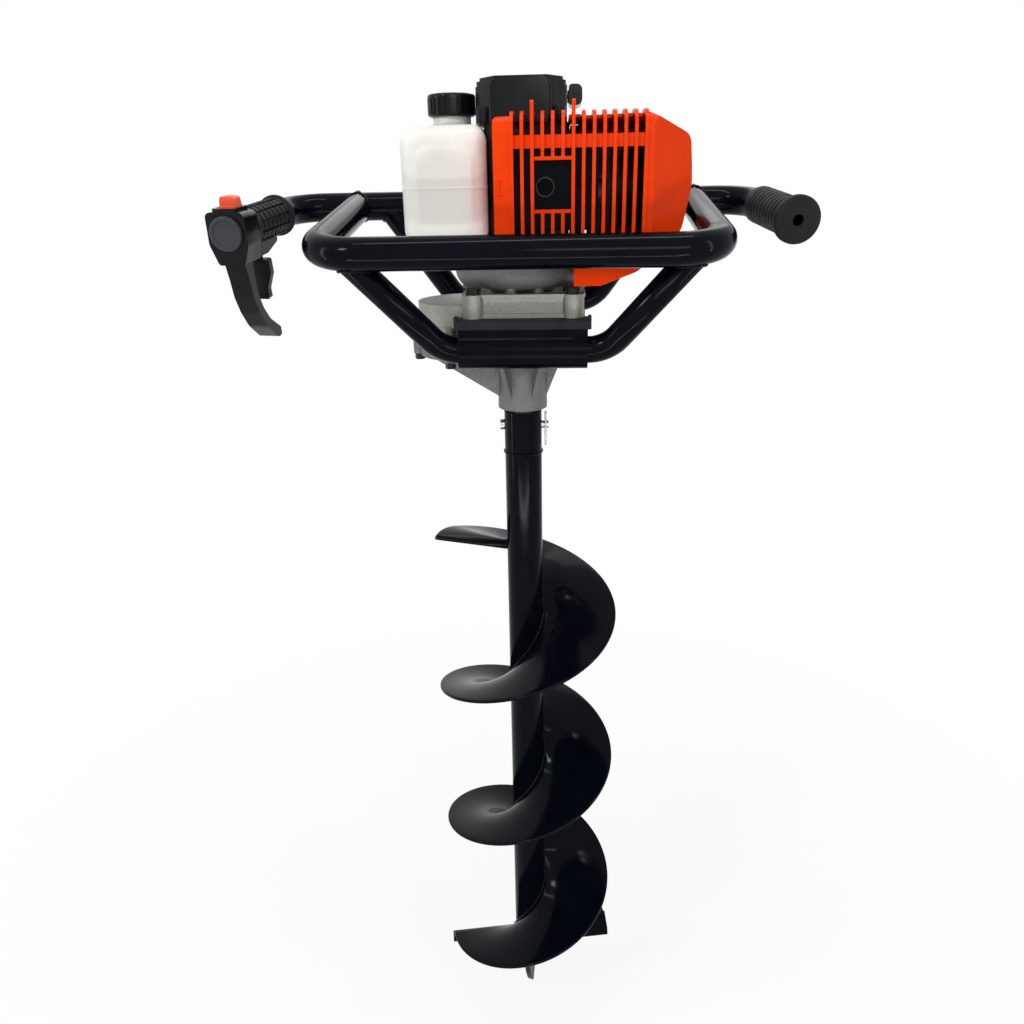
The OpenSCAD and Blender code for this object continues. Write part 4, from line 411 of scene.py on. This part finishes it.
def guard_line():
    """Points along the middle of the guard tube, from its left end to its right end."""
    bend_x, bend_s = GUARD_BEND - GUARD_HALF, GUARD_BEND - GUARD
    left = [frame_point(-GUARD_HALF, s) for s in np.linspace(REAR, bend_s, 120)]
    for q in np.radians(np.linspace(180, 270, 80)):
        left.append(frame_point(bend_x + GUARD_BEND * math.cos(q), bend_s + GUARD_BEND * math.sin(q)))
    front = [frame_point(x, -GUARD) for x in np.linspace(bend_x, -bend_x, 150)]
    right = [Vector((-p.x, p.y, p.z)) for p in reversed(left)]
    return np.array([list(p) for p in left + front + right])


def joint_bead(name, foot, top, r_tube, line, seed):
    """The weld where a tube from foot to top meets a bar that follows a line of points."""
    axis = (top - foot).normalized()
    side = axis.cross(Vector((0.2, 0.3, 0.9))).normalized()
    other = axis.cross(side)
    length = (top - foot).length
    path = []
    for a in np.linspace(0, FULL_TURN, JOINT_STEPS, endpoint=False):
        start = foot + (side * math.cos(a) + other * math.sin(a)) * r_tube
        near, far = 0.35 * length, length + 4
        for _ in range(JOINT_HALVINGS):
            mid = (near + far) / 2
            q = np.array(list(start + axis * mid))
            if np.sqrt(((line - q) ** 2).sum(1)).min() > BAR_R:
                near = mid
            else:
                far = mid
        path.append((start + axis * near) * MM)
    sweep(name, path, JOINT_BEAD * MM, "gloss_black", "frame", sides=WELD_SIDES, wobble=LONG_WOBBLE, seed=seed,
          closed=True)


def bent_path(points, r, steps=14):
    """The line through some points, with an arc of radius r at each inner one."""
    path = [points[0]]
    for before, at, after in zip(points, points[1:], points[2:]):
        u, w = (at - before).normalized(), (after - at).normalized()
        turn = u.angle(w)
        centre = at + (w - u).normalized() * (r / math.cos(turn / 2))
        arm = at - u * (r * math.tan(turn / 2)) - centre
        for k in range(steps + 1):
            path.append(centre + Matrix.Rotation(turn * k / steps, 3, u.cross(w)) @ arm)
    return path + [points[-1]]


GUARD_LINE = guard_line()
REAR_LINE = np.array([list(frame_point(x, REAR)) for x in np.linspace(-200, 200, 400)])
front_leg = bent_path([FRONT_TOPS["left"], FRONT_FEET["left"], FRONT_FEET["right"], FRONT_TOPS["right"]], LEG_BEND)
sweep("front_leg_tube", [q * MM for q in front_leg], LEG_R * MM, "gloss_black", "frame", sides=40,
      stands_for=["front_leg"])
rear_climb = (frame_point(0, REAR) - Vector((0, REAR_FOOT[1], REAR_FOOT[2]))).length
for side, tag in ((-1, "left"), (1, "right")):
    joint_bead(f"weld_front_leg_{tag}", FRONT_FEET[tag], FRONT_TOPS[tag], LEG_R, GUARD_LINE, 8 + side)
    rear_foot = Vector((side * REAR_FOOT[0], REAR_FOOT[1], REAR_FOOT[2]))
    rear_top = frame_point(side * (REAR_FOOT[0] + LEAN * rear_climb), REAR)
    joint_bead(f"weld_rear_leg_{tag}", rear_foot, rear_top, LEG_R, REAR_LINE, 14 + side)
    guard_from, guard_to = frame_point(side * GUARD_HALF, -20), frame_point(side * GUARD_HALF, REAR)
    joint_bead(f"weld_guard_{tag}", guard_from, guard_to, BAR_R, REAR_LINE, 20 + side)

# Fuel tank: middle, sizes and lower end, rounding, and the height of its parting line
TANK = dict(x=-63.0, w=77.0, l=112.0, z=961.6, h=99.5, round=15.0, seam_z=1010.6, seam_rise=0.35)
# Hollow that clears the crankcase: its wall, its half width, and how far the wall is outside of it
POCKET = dict(x=-30.0, y=44.0, out=9.0)
# Raised panel on the front and the back: half sizes, corner radius, how far below the middle, height
PANEL = dict(x=27.0, z=39.0, r=17.0, down=4.5, rise=1.5)
NECK_X, NECK_R = -60.0, 17.0
# Section of the threaded neck: radius beyond NECK_R, and height
NECK_SECTION = [
    (-3, 0), (3.5, 0), (3.0, 1.8), (0.4, 2.6), (0, 4), (0, 9.5), (-0.9, 10.2), (-0.9, 12.4), (0, 13), (-0.9, 13.7),
    (-0.9, 15.8), (0, 16.4), (-0.9, 17.2), (-0.9, 21.5), (-1.4, 22.4), (-2.5, 22.4), (-3, 21.9)]
NECK_SIDES = 96


def smooth_step(a, b, x):
    t = min(1.0, max(0.0, (x - a) / (b - a)))
    return t * t * (3 - 2 * t)


def tank_shell():
    """A rounded block whose six sides are grids, pushed out at the panels and in at the hollow."""
    half = Vector((TANK["w"] / 2, TANK["l"] / 2, TANK["h"] / 2))
    middle = Vector((TANK["x"], 0, TANK["z"] + half.z))
    r = TANK["round"]
    seam = TANK["seam_z"] - middle.z

    def stops(h, extra=()):
        flat = h - r
        edge = [list(np.linspace(-h, -flat, 8)), list(np.linspace(flat, h, 8))]
        s = edge[0] + list(np.linspace(-flat, flat, 26))[1:-1] + edge[1]
        return sorted(set(round(v, 4) for v in s + list(extra)))

    def place(q):
        inner = Vector([max(-(half[i] - r), min(half[i] - r, q[i])) for i in range(3)])
        n = (q - inner).normalized()
        p = inner + n * r
        if abs(n.y) > 0.5:
            dx, dz = abs(p.x) - (PANEL["x"] - PANEL["r"]), abs(p.z + PANEL["down"]) - (PANEL["z"] - PANEL["r"])
            inside = PANEL["r"] - (math.hypot(max(dx, 0), max(dz, 0)) + min(max(dx, dz), 0))
            rise = PANEL["rise"] * smooth_step(-1.0, 4.0, inside) * (abs(n.y) - 0.5) * 2
            p += Vector((0, math.copysign(1.0, n.y), 0)) * rise
        p += n * TANK["seam_rise"] * max(0.0, 1 - abs(p.z - seam) / 0.9)
        outside = smooth_step(POCKET["y"] + 0.2, POCKET["y"] + 5.2, abs(p.y))
        p.x = min(p.x, POCKET["x"] - TANK["x"] + POCKET["out"] * outside)
        return p

    grid = [stops(half.x), stops(half.y), stops(half.z, [seam + d for d in (-1.0, -0.4, 0.0, 0.4, 1.0)])]
    bm = bmesh.new()
    for axis in range(3):
        u, v = [i for i in range(3) if i != axis]
        for sign in (-1, 1):
            rows = []
            for a in grid[u]:
                row = []
                for b in grid[v]:
                    q = Vector((0, 0, 0))
                    q[axis], q[u], q[v] = sign * half[axis], a, b
                    row.append(bm.verts.new((place(q) + middle) * MM))
                rows.append(row)
            for near, far in zip(rows, rows[1:]):
                for j in range(len(near) - 1):
                    bm.faces.new((near[j], far[j], far[j + 1], near[j + 1]))
    bmesh.ops.remove_doubles(bm, verts=bm.verts, dist=SAME_POINT)
    bmesh.ops.recalc_face_normals(bm, faces=bm.faces)
    bm.verts.index_update()
    verts = [v.co.copy() for v in bm.verts]
    faces = [tuple(v.index for v in f.verts) for f in bm.faces]
    bm.free()
    piece("tank_shell", verts, faces, "tank_plastic", "frame", stands_for=["fuel_tank"])


def tank_neck():
    """The neck, turned from its section."""
    base = TANK["z"] + TANK["h"] - 0.4
    verts = []
    for c, s in round_points(NECK_SIDES):
        for beyond, z in NECK_SECTION:
            r = NECK_R + beyond
            verts.append(((NECK_X + r * c) * MM, r * s * MM, (base + z) * MM))
    piece("tank_neck", verts, strip_faces(NECK_SIDES, len(NECK_SECTION), "loop"), "tank_plastic", "frame")


tank_shell()
tank_neck()

# Starter rope: its line, and where it leaves the cover and enters the handle
ROPE_Y, ROPE_Z, ROPE_FROM, ROPE_TO = 20.0, 1085.55, 33.2, 43.3
ROPE_R, ROPE_STRAND, ROPE_LAY, ROPE_SIDES = 1.85, 0.12, 0.7, 12
# Points of the rope inside the cover, between, where it stretches, and inside the handle
ROPE_X = list(np.linspace(14, 33, 8)) + list(np.linspace(33.5, 43.0, 60)) + list(np.linspace(43.6, 52, 8))


def starter_rope():
    """A rope of three strands, which stretches between the cover and the handle."""
    verts = []
    for i, x in enumerate(ROPE_X):
        for k in range(ROPE_SIDES):
            a = FULL_TURN * k / ROPE_SIDES
            r = ROPE_R + ROPE_STRAND * math.cos(3 * a - i * ROPE_LAY)
            verts.append((x * MM, (ROPE_Y + r * math.cos(a)) * MM, (ROPE_Z + r * math.sin(a)) * MM))
    o = piece("starter_rope", verts, strip_faces(len(ROPE_X), ROPE_SIDES), "black_rubber", None)
    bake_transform(o)


starter_rope()

# Screws of the starter cover
SCREW_PLACES = ((-29.0, -39.0), (36.0, -39.0), (36.0, 39.0), (-29.0, 39.0))
SCREW_Z, SCREW_R, SCREW_H, SCREW_SIDES = 1070.55, 3.7, 3.6, 48
SOCKET_SHARE, SOCKET_TAPER, SOCKET_DEEP = 0.52, 0.94, 2.0


def socket_screw(name, x, y):
    """A cap screw with a six-sided socket, standing upright."""
    r, h = SCREW_R, SCREW_H
    socket = []
    for k in range(SCREW_SIDES):
        q = (FULL_TURN * k / SCREW_SIDES) % (math.pi / 3) - math.pi / 6
        socket.append(SOCKET_SHARE * r * math.cos(math.pi / 6) / math.cos(q))
    narrow = [SOCKET_TAPER * q for q in socket]
    rows = [([r - inset] * SCREW_SIDES, z) for inset, z in ((0, 0.0), (0, h - 0.6), (0.25, h - 0.15), (0.6, h))]
    rows += [(socket, h), (narrow, h - 0.3), (narrow, h - SOCKET_DEEP)]
    verts = []
    for radii, z in rows:
        for q, (c, s) in zip(radii, round_points(SCREW_SIDES)):
            verts.append(((x + q * c) * MM, (y + q * s) * MM, (SCREW_Z + z) * MM))
    o = piece(name, verts, strip_faces(len(rows), SCREW_SIDES), "black_steel", "frame")
    even_normals(o)


for k, (x, y) in enumerate(SCREW_PLACES):
    socket_screw(f"starter_screw_{k + 1}", x, y)

# Small pieces on the engine cover
LATCH = dict(x=-11.4, y=-85.5, z=1010.0, w=2.6, half=5.5, r=1.0)
OUTLET = dict(x=24.6, z=1010.05, front=-78.7, r=8.2, inside=6.6)
OUTLET_SIDES = 48
# Sections across x and z, and across x and y
LIP_SECTION = [(44.2, 1061.75), (46.0, 1061.75), (46.0, 1063.4), (54.5, 1063.4), (54.5, 1066.2), (44.2, 1066.2)]
BAFFLE_SECTION = [(46.2, 36.3), (59.0, 36.3), (59.0, 38.8), (55.8, 38.8), (55.8, 44.0), (54.0, 44.0),
                  (54.0, 38.8), (46.2, 38.8)]
LIP_Y, BAFFLE_Z = (-52.0, 37.0), (962.3, 1063.0)
PLATE_EDGE = 0.5


def grille_latch():
    """The raised loop that the grille is clipped by, on its left band."""
    x, y, z, far, half = LATCH["x"], LATCH["y"], LATCH["z"], LATCH["x"] - LATCH["w"], LATCH["half"]
    corners = [(x, z - half), (far, z - half), (far, z + half), (x, z + half)]
    path = []
    for (x0, z0), (x1, z1) in zip(corners, corners[1:]):
        for t in np.linspace(0, 1, 9)[:-1]:
            path.append(((x0 + (x1 - x0) * t) * MM, y * MM, (z0 + (z1 - z0) * t) * MM))
    path.append((corners[-1][0] * MM, y * MM, corners[-1][1] * MM))
    sweep("grille_latch", path, LATCH["r"] * MM, "orange_plastic", "frame", sides=8)


def outlet_liner():
    """The bare edge of the exhaust tube, in the window of the grille."""
    r, inside, front = OUTLET["r"], OUTLET["inside"], OUTLET["front"]
    section = [(r, front + 2.0), (r, front + 0.4), (r - 0.4, front), (inside + 0.3, front), (inside, front + 0.4),
               (inside, front + 9.0)]
    verts = []
    for q, y in section:
        for c, s in round_points(OUTLET_SIDES):
            verts.append(((OUTLET["x"] + q * c) * MM, y * MM, (OUTLET["z"] + q * s) * MM))
    o = piece("outlet_liner", verts, strip_faces(len(section), OUTLET_SIDES, "open"), "black_steel", "frame")
    even_normals(o)


def folded_plate(name, rows, slot):
    """A plate between the two rows of points, which are its section at either end."""
    verts = [(x * MM, y * MM, z * MM) for row in rows for x, y, z in row]
    o = piece(name, verts, strip_faces(2, len(rows[0])), slot, "frame", smooth=False)
    round_edges(o, PLATE_EDGE)


grille_latch()
outlet_liner()
# The roof's lip beside the starter cover, and the baffle between the crankcase and the back wall
folded_plate("roof_lip", [[(x, y, z) for x, z in LIP_SECTION] for y in LIP_Y], "orange_plastic")
# The baffle is black plastic, dark like the shade that falls there inside the cover: painted shade
folded_plate("cover_baffle", [[(x, y, z) for x, y in BAFFLE_SECTION] for z in BAFFLE_Z], "black_plastic")

# Camera, light and floor. The focal length and the image are in pixels, lights and floor in metres
CAMERA_AT = Vector((36.69, -816.08, 1012.5)) * MM
YAW, PITCH, ROLL = math.radians(3.5), math.radians(21.64), math.radians(-1.16)
FOCAL, IMAGE, SENSOR = 825.1, 1024, 36
FLOOR_HALF, FLOOR_Z = 9, -0.0005
# The floor turns to plain white between these distances from the middle
FADE_FROM, FADE_TO, FADE_LEAST = 0.35, 1.1, 0.86
# Name, place, what it points at, size, power
LIGHTS = (
    ("key", (-1.2, -1.5, 2.2), (0, 0, 0.9), (0.4, 0.4), 17),
    ("front", (0.5, -1.9, 1.5), (0, 0, 0.8), (1.1, 0.4), 9),
    ("top", (0.1, -0.2, 2.6), (0, 0, 0.9), (1.4, 0.12), 11),
    ("right", (1.6, -0.7, 1.3), (0, 0, 0.8), (0.06, 1.6), 5),
    ("left", (-1.5, -0.5, 0.9), (0, 0, 0.5), (0.06, 1.6), 5),
    ("back", (0.2, 1.7, 2.0), (0, 0, 0.8), (1.6, 0.6), 4.5),
    ("low", (0.0, -1.0, 0.3), (0, -0.1, 0.9), (1.3, 0.03), 3.5),
)


def set_camera():
    level = math.cos(PITCH)
    forward = Vector((-math.sin(YAW) * level, math.cos(YAW) * level, -math.sin(PITCH)))
    right = Vector((math.cos(YAW), math.sin(YAW), 0))
    up = right.cross(forward)
    c, s = math.cos(ROLL), math.sin(ROLL)
    right, up = c * right + s * up, -s * right + c * up
    data = bpy.data.cameras.new("camera")
    data.sensor_width = SENSOR
    data.lens = FOCAL / IMAGE * SENSOR
    data.clip_start = 0.01
    cam = bpy.data.objects.new("camera", data)
    scene.collection.objects.link(cam)
    rows = [(right[i], up[i], -forward[i], CAMERA_AT[i]) for i in range(3)]
    cam.matrix_world = Matrix((*rows, (0, 0, 0, 1)))
    scene.camera = cam


def seen_by_eye(tree):
    """1 for camera, mirror and see-through rays."""
    path = tree.nodes.new("ShaderNodeLightPath")
    top = path.outputs["Is Camera Ray"]
    for ray in ("Is Glossy Ray", "Is Transmission Ray"):
        m = tree.nodes.new("ShaderNodeMath")
        m.operation = "MAXIMUM"
        tree.links.new(top, m.inputs[0])
        tree.links.new(path.outputs[ray], m.inputs[1])
        top = m.outputs[0]
    return top


def mix_shaders(tree, out, fac, plain, white):
    mix = tree.nodes.new("ShaderNodeMixShader")
    tree.links.new(fac, mix.inputs[0])
    tree.links.new(plain.outputs[0], mix.inputs[1])
    tree.links.new(white.outputs[0], mix.inputs[2])
    tree.links.new(mix.outputs[0], out.inputs[0])


def set_world():
    """Dim light all round, which the camera and mirror rays see as white."""
    world = bpy.data.worlds.new("studio")
    scene.world = world
    world.use_nodes = True
    tree = world.node_tree
    tree.nodes.clear()
    out = tree.nodes.new("ShaderNodeOutputWorld")
    dim, white = tree.nodes.new("ShaderNodeBackground"), tree.nodes.new("ShaderNodeBackground")
    dim.inputs["Color"].default_value = (0.95, 0.97, 1.0, 1)
    dim.inputs["Strength"].default_value = 0.42
    white.inputs["Color"].default_value = (1, 1, 1, 1)
    white.inputs["Strength"].default_value = 1.0
    mix_shaders(tree, out, seen_by_eye(tree), dim, white)


def area_light(name, at, aim, size, energy):
    data = bpy.data.lights.new(name, "AREA")
    data.shape = "RECTANGLE"
    data.size, data.size_y = size
    data.energy = energy
    o = bpy.data.objects.new(name, data)
    scene.collection.objects.link(o)
    o.location = at
    o.rotation_euler = (Vector(aim) - Vector(at)).to_track_quat("-Z", "Y").to_euler()


def set_floor():
    mesh = bpy.data.meshes.new("floor")
    corners = [(x * FLOOR_HALF, y * FLOOR_HALF, FLOOR_Z) for x, y in ((-1, -1), (1, -1), (1, 1), (-1, 1))]
    mesh.from_pydata(corners, [], [(0, 1, 2, 3)])
    o = bpy.data.objects.new("floor", mesh)
    scene.collection.objects.link(o)
    mat = bpy.data.materials.new("pale_floor")
    mat.use_nodes = True
    tree = mat.node_tree
    tree.nodes.clear()
    out = tree.nodes.new("ShaderNodeOutputMaterial")
    plain = tree.nodes.new("ShaderNodeBsdfDiffuse")
    plain.inputs["Color"].default_value = (0.9, 0.9, 0.9, 1)
    glow = tree.nodes.new("ShaderNodeEmission")
    glow.inputs["Strength"].default_value = 1.0
    coord = tree.nodes.new("ShaderNodeTexCoord")
    far = tree.nodes.new("ShaderNodeVectorMath")
    far.operation = "LENGTH"
    tree.links.new(coord.outputs["Object"], far.inputs[0])
    share = tree.nodes.new("ShaderNodeMath")
    share.operation = "MULTIPLY"
    tree.links.new(seen_by_eye(tree), share.inputs[0])
    tree.links.new(span(tree, far.outputs["Value"], FADE_LEAST, 1.0, FADE_FROM, FADE_TO), share.inputs[1])
    mix_shaders(tree, out, share.outputs[0], plain, glow)
    mesh.materials.append(mat)


set_camera()
set_world()
set_floor()
for light in LIGHTS:
    area_light(*light)
for name in nodes:
    finish_node(name)
